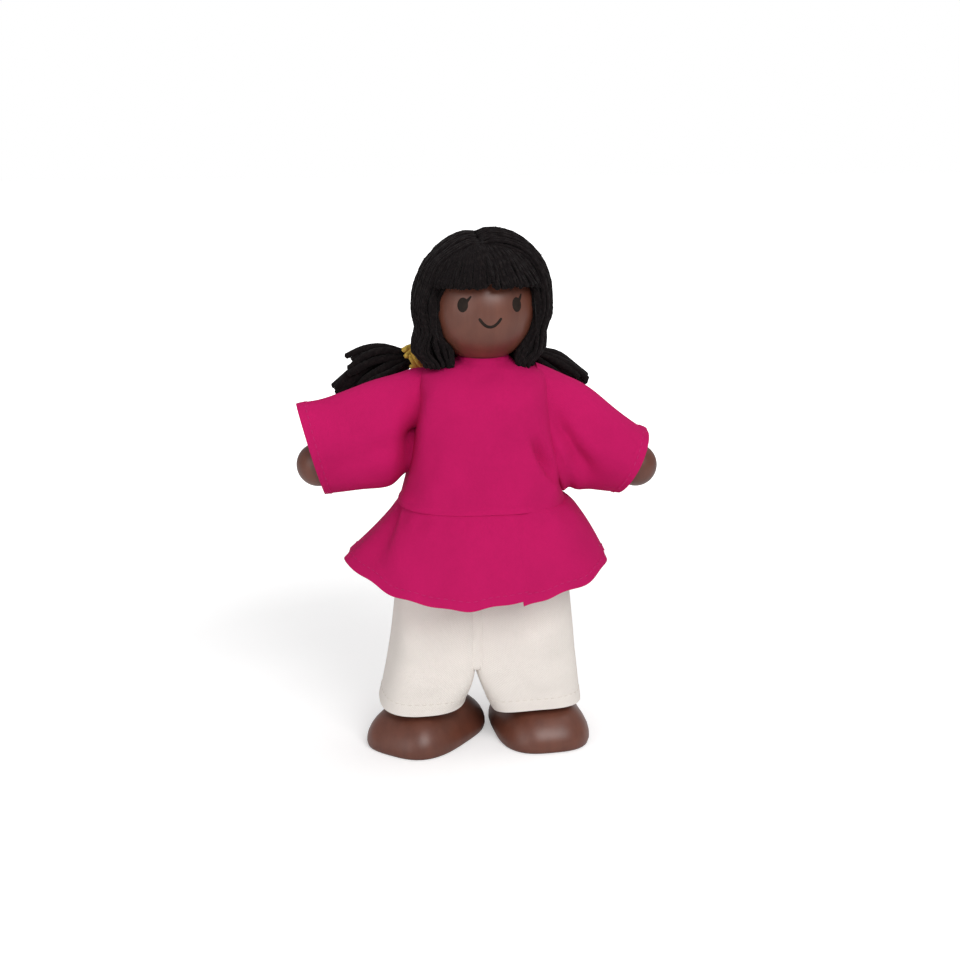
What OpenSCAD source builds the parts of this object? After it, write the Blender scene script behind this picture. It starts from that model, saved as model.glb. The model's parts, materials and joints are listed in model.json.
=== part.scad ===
// Dolls' house doll: wooden head, hands and feet on wire-cored cord limbs, with yarn hair and cotton clothes.
// It stands on the XY plane and faces -Y, so its right side is at -X. Sizes are in millimetres.

/* [Head and hair] */
// Diameter of the wooden head
head_d = 21; // [19:0.5:22]
// Thickness of the yarn over the sides of the head
hair_t = 3.6; // [2.8:0.1:4.2]
// Height of the fringe's edge above the middle of the head
fringe_rise = 5.5; // [3.5:0.1:6]
// Length of a side lock below the middle of the head
lock_drop = 11.2; // [8:0.1:11.4]
// Length of the right pigtail beyond its tie
pigtail_len_right = 17; // [12:0.5:20]
// Length of the left pigtail beyond its tie
pigtail_len_left = 14; // [12:0.5:18]
// Thickness of the right pigtail at its fullest
pigtail_d_right = 8.2; // [6:0.1:8.6]
// Thickness of the left pigtail at its fullest
pigtail_d_left = 6.8; // [6:0.1:8]
// Thickness of the yarn of the hair ties
tie_d = 0.9; // [0.7:0.05:1.1]
// Turns of yarn in a hair tie
tie_turns = 3; // [2:1:4]

/* [Torso] */
// Diameter of the turned torso
torso_d = 20.6; // [19.4:0.1:20.8]
// Height of the torso from its base to the foot of its neck
torso_h = 37; // [36:0.1:40]
// Height of the neck above the torso
neck_h = 3.2; // [3:0.1:4]
// Diameter of the neck
neck_d = 9; // [7:0.1:9.4]
// Diameter of the peg that the head turns on
peg_d = 5; // [4:0.1:5.4]

/* [Arms] */
// Diameter of the cord in the arms
arm_cord_d = 4; // [3:0.1:4.4]
// Length of an arm from the shoulder's bend to the middle of the hand
arm_len = 22.5; // [21.5:0.1:24]
// Length of an arm from the shoulder's bend to the elbow's bend
upper_arm_len = 10.5; // [9:0.1:12]
// Slope of the right arm below level, in degrees
arm_drop_right = 28; // [25:0.5:31]
// Slope of the left arm below level, in degrees
arm_drop_left = 34; // [33:0.2:36]
// Diameter of a ball hand
hand_d = 8.6; // [7.4:0.1:9]

/* [Legs] */
// Diameter of the cord in the legs
leg_cord_d = 4.6; // [3.6:0.1:5]
// Height of the knee above the top of the foot
shin_len = 14.6; // [13:0.1:16]
// Height of the hip above the knee
thigh_rise = 12.8; // [12:0.1:15]
// Distance of each foot from the middle
stance = 12; // [11.8:0.1:12.4]
// Length of a foot
foot_len = 25.8; // [25:0.1:27]
// Width of a foot
foot_w = 18.8; // [17:0.1:19.2]
// Height of a foot
foot_h = 8.4; // [7.8:0.1:9]
// Turn of the right foot outwards, in degrees
foot_turn_right = 39; // [30:1:42]
// Turn of the left foot outwards, in degrees
foot_turn_left = 5; // [0:1:7]
// Distance of the middle of a foot behind its ankle
foot_behind = 0.8; // [0:0.1:1]

/* [Wire] */
// Diameter of the soft wire in the cords
wire_d = 1.3; // [0.8:0.1:1.6]

/* [Tunic] */
// Thickness of the cotton as made up
cloth_t = 0.6; // [0.4:0.05:0.7]
// Room in the tunic at its waist seam, side to side
waist_ease_w = 12; // [9.6:0.2:13.4]
// Room in the tunic at its waist seam, front to back
waist_ease_d = 4.6; // [4:0.2:6.4]
// Room in the tunic across the chest
chest_ease_w = 4.4; // [3.8:0.1:5.4]
// Room in the tunic at the chest, front to back
chest_ease_d = 2.4; // [2.2:0.1:3.8]
// Height of an armhole
armhole_h = 22.5; // [21:0.1:23]
// Depth of a sleeve at its armhole, front to back
sleeve_d = 13.2; // [12.4:0.1:14]
// Length of the right sleeve along its middle
sleeve_len_right = 20.4; // [18:0.1:21]
// Length of the left sleeve along its middle
sleeve_len_left = 18.7; // [17.5:0.1:19.2]
// Rise of the right sleeve above the line of its arm, in degrees
sleeve_lift_right = 16.2; // [14:0.2:17]
// Rise of the left sleeve above the line of its arm, in degrees
sleeve_lift_left = 7.5; // [6.5:0.1:9.5]
// Height of the right cuff
cuff_h_right = 18; // [16:0.1:19]
// Height of the left cuff
cuff_h_left = 13.6; // [13.2:0.1:16]
// Depth of the right cuff, front to back
cuff_d_right = 12; // [11:0.1:15]
// Depth of the left cuff, front to back
cuff_d_left = 13; // [12:0.1:15.6]
// Tilt of the right cuff, in degrees
cuff_tilt_right = 4; // [0:0.5:6]
// Width of the hem of the peplum
peplum_w = 52.6; // [48:0.2:56]
// Depth of the hem of the peplum, front to back
peplum_d = 40; // [36:0.2:44]
// Height of the peplum from its hem to the waist seam
peplum_h = 14.8; // [12:0.1:16]
// Distance of the middle of the peplum's hem from the doll's middle, towards its right
peplum_lean = 1.2; // [0:0.1:1.6]
// Depth of the folds at the hem of the peplum
peplum_fold = 0.9; // [0.2:0.1:1.6]

/* [Trousers] */
// Width of a trouser leg at its hem
hem_w = 17.8; // [17.6:0.1:18.2]
// Depth of a trouser leg at its hem, front to back
hem_d = 19.2; // [18.6:0.1:20.4]
// Place of the line between the legs, from the middle towards the doll's left
leg_split = -2.2; // [-2.4:0.1:0]
// Height of the right leg's hem above the top of the foot
hem_rise_right = 0.4; // [0.1:0.1:1]
// Height of the left leg's hem above the top of the foot
hem_rise_left = 0.1; // [0.1:0.1:1]
// Depth of the folds in a trouser leg
leg_fold = 0.3; // [0:0.05:0.4]

/* [Hidden] */
$fn = 48;

wood = [0.36, 0.22, 0.17];
black_yarn = [0.07, 0.055, 0.055];
yellow_yarn = [0.86, 0.66, 0.2];
magenta = [0.72, 0.1, 0.38];
cream = [0.89, 0.86, 0.82];
cord_colour = [0.76, 0.7, 0.6];
wire_colour = [0.62, 0.62, 0.64];
strip_colour = [0.85, 0.82, 0.8];

// Running clearance of the peg in the head and of a shin in its foot
running = 0.05;
// Gap at a glued joint
glue = 0.02;
// Gap between lengths of one cord
cord_gap = 0.05;
// Gap between a soft piece and its neighbour
soft_gap = 0.25;

// Heights, from the ground up
arm_reach = arm_cord_d / 2 + 0.6;
leg_reach = leg_cord_d / 2 + 0.6;
knee_z = foot_h + shin_len;
hip_z = knee_z + thigh_rise;
hip_x = torso_d / 2 - leg_cord_d / 2 - 1;
torso_z = hip_z + leg_reach;
neck_z = torso_z + torso_h;
neck_top = neck_z + neck_h;
head_r = head_d / 2;
head_flat = peg_d / 2 + 0.7;
head_bottom = neck_top + 0.3;
head_z = head_bottom + sqrt(head_r * head_r - head_flat * head_flat);
shoulder_x = torso_d / 2 + 2.2;
shoulder_z = neck_z - 6.4;
hair_r = head_r + hair_t;
hair_c = [0, 0.3, head_z + 0.8];

// Tunic heights, and widths from the torso inside it
waist_z = torso_z + torso_h * 0.338;
neckline_z = neck_z + 3.5;
armhole_top = neckline_z - 2.3;
armhole_low = armhole_top - armhole_h;
armhole_mid = (armhole_top + armhole_low) / 2;
waist_w = torso_d + waist_ease_w;
waist_d = torso_d + waist_ease_d;
chest_w = torso_d + chest_ease_w;
chest_d = torso_d + chest_ease_d;

function mix(a, b, t) = a + (b - a) * t;
function spow(v, e) = sign(v) * pow(abs(v), e);
function unit(v) = v / norm(v);

// Limb points: side is -1 for the doll's right and 1 for its left
function arm_drop(side) = side < 0 ? arm_drop_right : arm_drop_left;
function arm_dir(side) = [side * cos(arm_drop(side)), 0, -sin(arm_drop(side))];
function shoulder(side) = [side * shoulder_x, 0, shoulder_z];
function elbow(side) = shoulder(side) + upper_arm_len * arm_dir(side);
function hand_at(side) = shoulder(side) + arm_len * arm_dir(side);
function hip(side) = [side * hip_x, 0, hip_z];
function knee(side) = [side * stance, 0, knee_z];
function thigh_dir(side) = unit(knee(side) - hip(side));
splay = atan2(stance - hip_x, thigh_rise);

echo(head_z = head_z, hip = hip(1), knee = knee(1), shoulder = shoulder(1));
echo(elbow_right = elbow(-1), elbow_left = elbow(1), hand_right = hand_at(-1), hand_left = hand_at(1));

// Ring of points: an oval of half-widths a along u and b along v, squarer with a larger n, with folds
function oval(c, u, v, a, b, n, count, fold = 0, waves = 0, turn = 0) = [
    for (j = [0:count - 1])
        let (t = 360 * j / count, f = fold * sin(waves * t + turn))
        c + u * (a + f) * spow(cos(t), 2 / n) + v * (b + f) * spow(sin(t), 2 / n)
];

// Two triangles for each step along and round a tube of rings; first is the index of its first point
function skin(first, m, s, inward) = [
    for (i = [0:m - 2], j = [0:s - 1])
        let (
            k = (j + 1) % s,
            p = first + i * s + j,
            q = first + i * s + k,
            r = first + (i + 1) * s + k,
            o = first + (i + 1) * s + j
        )
        each inward ? [[p, q, r], [p, r, o]] : [[p, o, r], [p, r, q]]
];

// Cloth between an outer and an inner set of rings, open at both ends
module cloth(outer, inner) {
    m = len(outer);
    s = len(outer[0]);
    n = m * s;
    top = n - s;
    rims = [
        for (j = [0:s - 1])
            let (k = (j + 1) % s)
            each [
                [j, k, n + k], [j, n + k, n + j],
                [top + k, top + j, n + top + j], [top + k, n + top + j, n + top + k]
            ]
    ];
    polyhedron(
        [for (r = concat(outer, inner)) each r],
        concat(skin(0, m, s, false), skin(n, m, s, true), rims),
        convexity = 8
    );
}

// Solid through a set of rings, closed at both ends
module loft(rings) {
    m = len(rings);
    s = len(rings[0]);
    last = (m - 1) * s;
    polyhedron(
        [for (r = rings) each r],
        concat(
            skin(0, m, s, false),
            [[for (j = [0:s - 1]) j]],
            [[for (j = [s - 1:-1:0]) last + j]]
        ),
        convexity = 6
    );
}

// Children placed with their Z along zdir and their X along xdir
module placed(at, zdir, xdir) {
    y = cross(zdir, xdir);
    multmatrix([
        [xdir.x, y.x, zdir.x, at.x],
        [xdir.y, y.y, zdir.y, at.y],
        [xdir.z, y.z, zdir.z, at.z]
    ])
        children();
}

// Straight length of cord or wire
module length_of(from, dir, h, d)
    placed(from, dir, unit(cross([0, 1, 0], dir)))
        cylinder(d = d, h = h);

// Cord or wire along a path, with a slightly fuller round at each bend
module run(path, d)
    for (i = [0:len(path) - 2])
        union() {
            length_of(path[i], unit(path[i + 1] - path[i]), norm(path[i + 1] - path[i]), d);
            if (i > 0) translate(path[i]) rotate([0, 0, 90]) sphere(d = d + 0.2);
        }

arm_root = 4;
leg_root = 6.4;
hand_plug = hand_d * 0.3;
foot_plug = foot_h - 2.6;

// The line of an arm's wire and of a leg's, shortened or lengthened at both ends
function arm_line(side, short) = [
    [side * (arm_root + short), 0, shoulder_z],
    shoulder(side),
    hand_at(side) + (0.4 - hand_plug - short) * arm_dir(side)
];
function leg_line(side, short) = [
    hip(side) + [0, 0, leg_reach + leg_root - short],
    hip(side),
    knee(side),
    [side * stance, 0, foot_h - foot_plug + short]
];

wire_hole = wire_d + 0.1;

// Wooden torso, neck and head
torso_shape = concat(
    [[0, torso_z], [torso_d / 2 - 0.5, torso_z], [torso_d / 2, torso_z + 0.5]],
    [
        for (a = [0:10:90])
            [mix(neck_d, torso_d, cos(a)) / 2, neck_z - 9.6 * (1 - sin(a))]
    ],
    [[neck_d / 2, neck_top], [0, neck_top]]
);
peg_low = neck_top - 5.4;
peg_high = head_bottom + head_r * 0.62;

module torso()
    color(wood)
        difference() {
            rotate_extrude() polygon(torso_shape);
            for (side = [-1, 1]) {
                length_of([side * arm_root, 0, shoulder_z], [side, 0, 0], torso_d, arm_cord_d + 2 * glue);
                length_of(
                    [side * hip_x, 0, torso_z + leg_root + 0.2], [0, 0, -1], leg_root + 1, leg_cord_d + 2 * glue
                );
            }
            translate([0, 0, peg_low - glue]) cylinder(d = peg_d + 2 * glue, h = 8);
        }

module neck_peg()
    color(wood)
        translate([0, 0, peg_low]) {
            cylinder(d = peg_d, h = peg_high - peg_low - 0.4);
            translate([0, 0, peg_high - peg_low - 0.4]) cylinder(d1 = peg_d, d2 = peg_d - 0.8, h = 0.4);
        }

module head()
    color(wood)
        difference() {
            translate([0, 0, head_z]) sphere(r = head_r);
            translate([-head_r, -head_r, head_bottom - 5]) cube([head_d, head_d, 5]);
            translate([0, 0, head_bottom - 1]) cylinder(d = peg_d + 2 * running, h = peg_high - head_bottom + 1.3);
        }

// Hair: a cap of yarn over the head, cut into crown and fringe
fringe_z = head_z + fringe_rise;
part_y = -3.6;

module hair_cap()
    difference() {
        translate(hair_c) sphere(r = hair_r);
        translate([0, 0, head_z]) sphere(r = head_r + 0.1);
    }

module hair_crown()
    color(black_yarn)
        intersection() {
            hair_cap();
            translate([-30, part_y, head_z - head_r * 0.84]) cube([60, 60, 60]);
        }

module hair_fringe()
    color(black_yarn)
        intersection() {
            hair_cap();
            translate([-30, part_y - 60.1, fringe_z]) cube([60, 60, 60]);
        }

// Side lock: hangs from under the fringe beside the face
module hair_lock(side) {
    low = head_z - lock_drop;
    x = head_r + 0.8;
    color(black_yarn)
        difference() {
            intersection() {
                loft([
                    oval([side * x * 0.9, -4.2, low], [1, 0, 0], [0, 1, 0], 1.4, 1.6, 2, 20),
                    oval([side * x * 0.93, -4.2, low + 0.9], [1, 0, 0], [0, 1, 0], 2.5, 2.9, 2, 20),
                    oval([side * x * 0.97, -4.1, low + 4], [1, 0, 0], [0, 1, 0], 3.1, 3.9, 2, 20),
                    oval([side * x, -3.9, head_z - 2], [1, 0, 0], [0, 1, 0], 3.1, 4.6, 2, 20),
                    oval([side * x * 0.97, -3.9, fringe_z - 0.1], [1, 0, 0], [0, 1, 0], 3, 5, 2, 20)
                ]);
                translate([-30, part_y - 60.1, low - 1]) cube([60, 60, 40]);
            }
            translate([0, 0, head_z]) sphere(r = head_r + 0.1);
        }
}

// Pigtail: from the back of the crown through its tie, then out and down
function tail_root(side) = [side * 8.6, 7.4, head_z - 9.4];
function tail_tie(side) = [side * 12.4, 9.0, head_z - 11.2];
function tail_way(side) = side < 0 ? [-0.86, 0.16, -0.3] : [0.72, 0.22, -0.58];
function tail_len(side) = side < 0 ? pigtail_len_right : pigtail_len_left;
function tail_full(side) = (side < 0 ? pigtail_d_right : pigtail_d_left) / 2;
function tail_at(side, t) = tail_tie(side) + tail_len(side) * (t * tail_way(side) + t * t * [0, 0, -0.12]);
tail_neck = 1.6;
function tail_r(side) = concat([2.1, 1.85, tail_neck], tail_full(side) * [0.58, 0.85, 1, 0.97, 0.62]);
function tail_path(side) = concat(
    [tail_root(side), mix(tail_root(side), tail_tie(side), 0.55), tail_tie(side)],
    [for (t = [0.18, 0.4, 0.62, 0.84, 1]) tail_at(side, t)]
);

module pigtail(side) {
    path = tail_path(side);
    n = len(path);
    color(black_yarn)
        difference() {
            loft([
                for (i = [0:n - 1])
                    let (
                        a = unit(path[min(i + 1, n - 1)] - path[max(i - 1, 0)]),
                        u = unit(cross(a, [0, 0, 1]))
                    )
                    oval(path[i], u, cross(a, u), tail_r(side)[i], tail_r(side)[i], 2, 18)
            ]);
            translate(hair_c) sphere(r = hair_r + 0.1);
        }
}

// Hair tie: yarn wound round the root of a pigtail, with its ends run out straight
tie_r = tail_neck + 3 * soft_gap + tie_d / 2;
tie_pitch = tie_d + 0.45;
tie_steps = 24;

function tie_axis(side) = unit(tail_at(side, 0.18) - tail_root(side));
function tie_out(side) = unit(cross(tie_axis(side), [0, 0, 1]));
function tie_radius(side, i) =
    cos(360 * i / tie_steps) * tie_out(side)
    + sin(360 * i / tie_steps) * cross(tie_axis(side), tie_out(side));
function tie_point(side, i) =
    tail_tie(side) + tie_axis(side) * tie_pitch * (i / tie_steps - tie_turns / 2) + tie_r * tie_radius(side, i);
function tie_way(side, i) = unit(tie_point(side, i + 0.5) - tie_point(side, i - 0.5));

module hair_tie(side) {
    count = tie_turns * tie_steps;
    ways = [for (i = [0:count]) tie_way(side, i)];
    middle = concat(
        [tie_point(side, 0) - tie_d * ways[0]],
        [for (i = [0:count]) tie_point(side, i)],
        [tie_point(side, count) + tie_d * ways[count]]
    );
    last = len(middle) - 1;
    gap = min([
        for (i = [0:last], j = [0:last])
            if (j - i >= tie_steps / 2) norm(middle[i] - middle[j])
    ]) - tie_d;
    echo(hair_tie_gap = gap);
    color(yellow_yarn)
        loft([
            for (i = [0:last])
                let (
                    k = min(max(i - 1, 0), count),
                    u = tie_radius(side, k),
                    v = cross(ways[k], u)
                )
                oval(middle[i], u, v, tie_d / 2, tie_d / 2, 2, 6)
        ]);
}

// Arms
module shoulder_cord(side)
    color(cord_colour)
        difference() {
            run([arm_line(side, 0.1)[0], shoulder(side), shoulder(side) + arm_reach * arm_dir(side)], arm_cord_d);
            run(arm_line(side, -1), wire_hole);
        }

module arm_length(side, from, to)
    color(cord_colour)
        difference() {
            length_of(shoulder(side) + from * arm_dir(side), arm_dir(side), to - from, arm_cord_d);
            length_of(shoulder(side) + (from - 1) * arm_dir(side), arm_dir(side), to - from + 2, wire_hole);
        }

module upper_arm_cord(side) arm_length(side, arm_reach + cord_gap, upper_arm_len - arm_reach);

module elbow_cord(side) arm_length(side, upper_arm_len - arm_reach + cord_gap, upper_arm_len + arm_reach);

module forearm_cord(side) arm_length(side, upper_arm_len + arm_reach + cord_gap, arm_len - hand_plug + 0.4);

module arm_wire(side)
    color(wire_colour)
        run(arm_line(side, 0.3), wire_d);

module hand(side)
    color(wood)
        difference() {
            translate(hand_at(side)) sphere(d = hand_d);
            length_of(
                hand_at(side) - hand_d * arm_dir(side), arm_dir(side),
                hand_d - hand_plug + 0.5, arm_cord_d + 2 * glue
            );
        }

// Legs
module hip_cord(side)
    color(cord_colour)
        difference() {
            run([leg_line(side, 0)[0], hip(side), hip(side) + leg_reach * thigh_dir(side)], leg_cord_d);
            run(leg_line(side, -1), wire_hole);
        }

module thigh_cord(side) {
    run = norm(knee(side) - hip(side));
    color(cord_colour)
        difference() {
            length_of(
                hip(side) + (leg_reach + cord_gap) * thigh_dir(side), thigh_dir(side),
                run - 2 * leg_reach - 2 * cord_gap, leg_cord_d
            );
            length_of(hip(side), thigh_dir(side), run, wire_hole);
        }
}

module knee_cord(side)
    color(cord_colour)
        difference() {
            run([knee(side) - leg_reach * thigh_dir(side), knee(side), knee(side) - [0, 0, leg_reach]], leg_cord_d);
            run(leg_line(side, -1), wire_hole);
        }

module shin_cord(side)
    color(cord_colour)
        difference() {
            translate([side * stance, 0, foot_h - foot_plug])
                cylinder(d = leg_cord_d, h = shin_len + foot_plug - leg_reach - cord_gap);
            translate([side * stance, 0, foot_h - foot_plug - 1]) cylinder(d = wire_hole, h = shin_len + foot_plug);
        }

module leg_wire(side)
    color(wire_colour)
        run(leg_line(side, 0.3), wire_d);

// Foot: a rounded block, domed all round from a flat sole; the side is in shares of the corner and the height
foot_r = foot_w * 0.368;
foot_flat = 0.976;
foot_side = [
    [0, 0], [0.906, 0], [0.984, 0.048], [1, 0.119], [0.992, 0.214], [0.945, 0.333], [0.852, 0.464],
    [0.711, 0.595], [0.531, 0.72], [0.32, 0.833], [0.109, 0.923], [0.047, foot_flat], [0, foot_flat]
];
function foot_turn(side) = side < 0 ? -foot_turn_right : foot_turn_left;

module foot_profile()
    polygon([for (p = foot_side) [foot_r * p.x, foot_h * p.y]]);

module foot(side) {
    dx = foot_w / 2 - foot_r;
    dy = foot_len / 2 - foot_r;
    color(wood)
        translate([side * stance, 0, 0])
            rotate([0, 0, foot_turn(side)])
                difference() {
                    translate([0, foot_behind, 0]) {
                        for (x = [-1, 1], y = [-1, 1])
                            translate([x * dx, y * dy, 0])
                                rotate_extrude() foot_profile();
                        for (x = [0, 180])
                            rotate([0, 0, x]) {
                                translate([dx, dy, 0])
                                    rotate([90, 0, 0])
                                        linear_extrude(2 * dy) foot_profile();
                                translate([-dx, dy, 0])
                                    rotate([90, 0, 90])
                                        linear_extrude(2 * dx) foot_profile();
                            }
                        translate([-dx, -dy, 0]) cube([2 * dx, 2 * dy, foot_h * foot_flat]);
                    }
                    translate([0, 0, foot_h - foot_plug - 0.1]) cylinder(d = leg_cord_d + 2 * running, h = foot_h);
                }
}

// Bodice rings: height from waist to neckline, share of chest size, then width, depth and squareness
bodice_rings = [
    [0, 0, 1, 1, 2.6], [0.17, 0.36, 1, 1, 2.8], [0.38, 0.64, 1, 1, 3.1], [0.6, 0.86, 1, 1, 3.3],
    [0.77, 1, 1, 0.94, 3.4], [0.86, 1, 1, 0.8, 3.1], [0.925, 1, 0.93, 0.66, 2.7],
    [0.965, 1, 0.72, 0.58, 2.4], [1, 1, 0.46, 0.5, 2]
];
function bodice_z(r) = mix(waist_z, neckline_z, r[0]);
function bodice_half_w(r) = mix(waist_w, chest_w, r[1]) / 2 * r[2];
function bodice_half_d(r) = mix(waist_d, chest_d, r[1]) / 2 * r[3];
function bodice_side(z) = lookup(z, [for (r = bodice_rings) [bodice_z(r), bodice_half_w(r)]]);
function bodice_ring(r, less) =
    oval([0, 0, bodice_z(r)], [1, 0, 0], [0, 1, 0], bodice_half_w(r) - less, bodice_half_d(r) - less, r[4], 40);

// Edge of cloth left round an armhole inside the sleeve
armhole_edge = 1.3;
cut_h = armhole_h / 2 - armhole_edge;
cut_d = sleeve_d / 2 - 1;

module tunic_bodice()
    color(magenta)
        difference() {
            cloth([for (r = bodice_rings) bodice_ring(r, 0)], [for (r = bodice_rings) bodice_ring(r, cloth_t)]);
            for (side = [0, 180])
                rotate([0, 0, side])
                    translate([chest_w / 4, 0, armhole_mid])
                        rotate([90, 0, 90])
                            linear_extrude(waist_w / 2)
                                polygon([
                                    for (t = [0:15:345]) [cut_d * cos(t), cut_h * sin(t)]
                                ]);
        }

// Sleeve: from the slanting armhole out to a cuff that tilts with the arm
function cuff_h(side) = side < 0 ? cuff_h_right : cuff_h_left;
function cuff_d(side) = side < 0 ? cuff_d_right : cuff_d_left;
function sleeve_start(side) = [
    side * ((bodice_side(armhole_top) + bodice_side(armhole_low)) / 2 + soft_gap + 0.4), 0, armhole_mid
];
function sleeve_rise(side) = unit([
    side * (bodice_side(armhole_top) - bodice_side(armhole_low)), 0, armhole_top - armhole_low
]);
function sleeve_len(side) = side < 0 ? sleeve_len_right : sleeve_len_left;
function sleeve_drop(side) = arm_drop(side) - (side < 0 ? sleeve_lift_right : sleeve_lift_left);
function sleeve_dir(side) = [side * cos(sleeve_drop(side)), 0, -sin(sleeve_drop(side))];
function cuff_lean(side) = sleeve_drop(side) + (side < 0 ? cuff_tilt_right : 0);
function cuff_rise(side) = [side * sin(cuff_lean(side)), 0, cos(cuff_lean(side))];

function sleeve_ring(side, t, less) = [
    for (p = oval(
        sleeve_start(side) + t * sleeve_len(side) * sleeve_dir(side),
        [0, side, 0],
        unit(mix(sleeve_rise(side), cuff_rise(side), t)),
        mix(sleeve_d, cuff_d(side), t) / 2 - less,
        mix(armhole_h, cuff_h(side), t) / 2 - less,
        2.3, 32, 0.35 * sin(180 * t), 5, side * 40 + 120 * t
    ))
        p - [side * 0.8 * pow(1 - t, 3) * pow(2 * p.y / sleeve_d, 2), 0, 0]
];

module sleeve(side) {
    steps = [0, 0.15, 0.32, 0.5, 0.68, 0.85, 1];
    color(magenta)
        cloth([for (t = steps) sleeve_ring(side, t, 0)], [for (t = steps) sleeve_ring(side, t, cloth_t)]);
}

// Peplum: flares in folds from the waist seam, sooner at the left side, longest at front and back
function peplum_out(side, t) = mix(waist_w, peplum_w, pow(t, side < 0 ? 1.2 : 0.72)) / 2 - side * t * peplum_lean;
function peplum_ring(t, less) = [
    for (p = oval(
        [(peplum_out(1, t) - peplum_out(-1, t)) / 2, 0, waist_z - t * peplum_h], [1, 0, 0], [0, 1, 0],
        (peplum_out(1, t) + peplum_out(-1, t)) / 2 - less, mix(waist_d, peplum_d, pow(t, 0.9)) / 2 - less,
        mix(2.6, 2.2, t), 60, peplum_fold * t, 8, 20
    ))
        p - [0, 0, 1.7 * t * (1 - 2 * pow(p.x / norm([p.x, p.y]), 2))]
];

module tunic_peplum() {
    steps = [1, 0.8, 0.6, 0.4, 0.2, 0];
    color(magenta)
        cloth([for (t = steps) peplum_ring(t, 0)], [for (t = steps) peplum_ring(t, cloth_t)]);
}

// Back fastening: a strip of hooks and a strip of loops, one behind the other
strip_t = 0.35;
strip_y = torso_d / 2 + 0.15;

module back_strip(y)
    color(strip_colour)
        translate([-1.8, y, waist_z + 1]) cube([3.6, strip_t, 10]);

module hook_strip() back_strip(strip_y);

module loop_strip() back_strip(strip_y + strip_t + 0.02);

// Trousers: a seat gathered on elastic, and two legs whose tops tuck up inside it
seat_low = torso_z - 2.4;
seat_top = torso_z + 9.2;
leg_top_out = torso_d / 2 + 6.8;
leg_top_d = torso_d + 0.4;
seat_half_w = leg_top_out + leg_fold + 2 * soft_gap + cloth_t;
seat_half_d = leg_top_d / 2 + leg_fold + 4 * soft_gap + cloth_t;

function seat_ring(t, less) =
    oval(
        [0, 0, mix(seat_low, seat_top, t)], [1, 0, 0], [0, 1, 0],
        mix(seat_half_w, torso_d / 2 + 1.7, pow(t, 1.4)) - less, mix(seat_half_d, torso_d / 2 + 1.5, pow(t, 1.4)) - less,
        mix(3.3, 2.1, t), 40
    );

module trouser_seat() {
    steps = [0, 0.25, 0.5, 0.75, 1];
    color(cream)
        cloth([for (t = steps) seat_ring(t, 0)], [for (t = steps) seat_ring(t, cloth_t)]);
}

module waist_elastic()
    color(strip_colour)
        translate([0, 0, seat_top - 3])
            difference() {
                cylinder(d = torso_d + 1.5, h = 2.4);
                translate([0, 0, -1]) cylinder(d = torso_d + 0.1, h = 5);
            }

// A leg runs from its hem, where it stands clear of the other leg, up to where the two all but touch
hem_low = 0.2;
function hem_z(side) = foot_h - hem_low + (side < 0 ? hem_rise_right : hem_rise_left);
function hem_out(side) = stance + (side < 0 ? 9.2 : 8.2);
function leg_out(side, t) = mix(hem_out(side), leg_top_out, t) - (side < 0 ? 0.7 : 0.2) * sin(180 * t);
function leg_meet(side) = side * leg_split + 0.2 + leg_fold;
function hem_in(side) = max(hem_out(side) - hem_w, leg_meet(side) + 0.6);
function leg_in(side, t) = mix(leg_meet(side), hem_in(side), pow(max(0, 1 - t / 0.5), 1.3));

function leg_ring(side, t, less) =
    oval(
        [side * (leg_out(side, t) + leg_in(side, t)) / 2, 0, mix(hem_z(side), torso_z - 1, t)],
        [1, 0, 0], [0, 1, 0],
        (leg_out(side, t) - leg_in(side, t)) / 2 - less,
        mix(hem_d, leg_top_d, t) / 2 - less,
        mix(2.7, 2.3, t), 28, leg_fold * sin(180 * t), 6, side * 50
    );

module trouser_leg(side) {
    steps = [0, 0.2, 0.4, 0.6, 0.8, 1];
    color(cream)
        cloth([for (t = steps) leg_ring(side, t, 0)], [for (t = steps) leg_ring(side, t, cloth_t)]);
}

torso();
neck_peg();
head();
hair_crown();
hair_fringe();
hair_lock(-1);  // hair_lock_right
hair_lock(1);  // hair_lock_left
pigtail(-1);  // pigtail_right
pigtail(1);  // pigtail_left
hair_tie(-1);  // hair_tie_right
hair_tie(1);  // hair_tie_left
shoulder_cord(-1);  // shoulder_cord_right
shoulder_cord(1);  // shoulder_cord_left
upper_arm_cord(-1);  // upper_arm_cord_right
upper_arm_cord(1);  // upper_arm_cord_left
elbow_cord(-1);  // elbow_cord_right
elbow_cord(1);  // elbow_cord_left
forearm_cord(-1);  // forearm_cord_right
forearm_cord(1);  // forearm_cord_left
arm_wire(-1);  // arm_wire_right
arm_wire(1);  // arm_wire_left
hand(-1);  // hand_right
hand(1);  // hand_left
hip_cord(-1);  // hip_cord_right
hip_cord(1);  // hip_cord_left
thigh_cord(-1);  // thigh_cord_right
thigh_cord(1);  // thigh_cord_left
knee_cord(-1);  // knee_cord_right
knee_cord(1);  // knee_cord_left
shin_cord(-1);  // shin_cord_right
shin_cord(1);  // shin_cord_left
leg_wire(-1);  // leg_wire_right
leg_wire(1);  // leg_wire_left
foot(-1);  // foot_right
foot(1);  // foot_left
tunic_bodice();
tunic_peplum();
sleeve(-1);  // sleeve_right
sleeve(1);  // sleeve_left
hook_strip();
loop_strip();
trouser_seat();
trouser_leg(-1);  // trouser_leg_right
trouser_leg(1);  // trouser_leg_left
waist_elastic();
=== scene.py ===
import json
import math
import random

import bmesh
import bpy
import numpy as np
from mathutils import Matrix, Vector
from bpy.props import FloatProperty, FloatVectorProperty, IntProperty, PointerProperty


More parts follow.
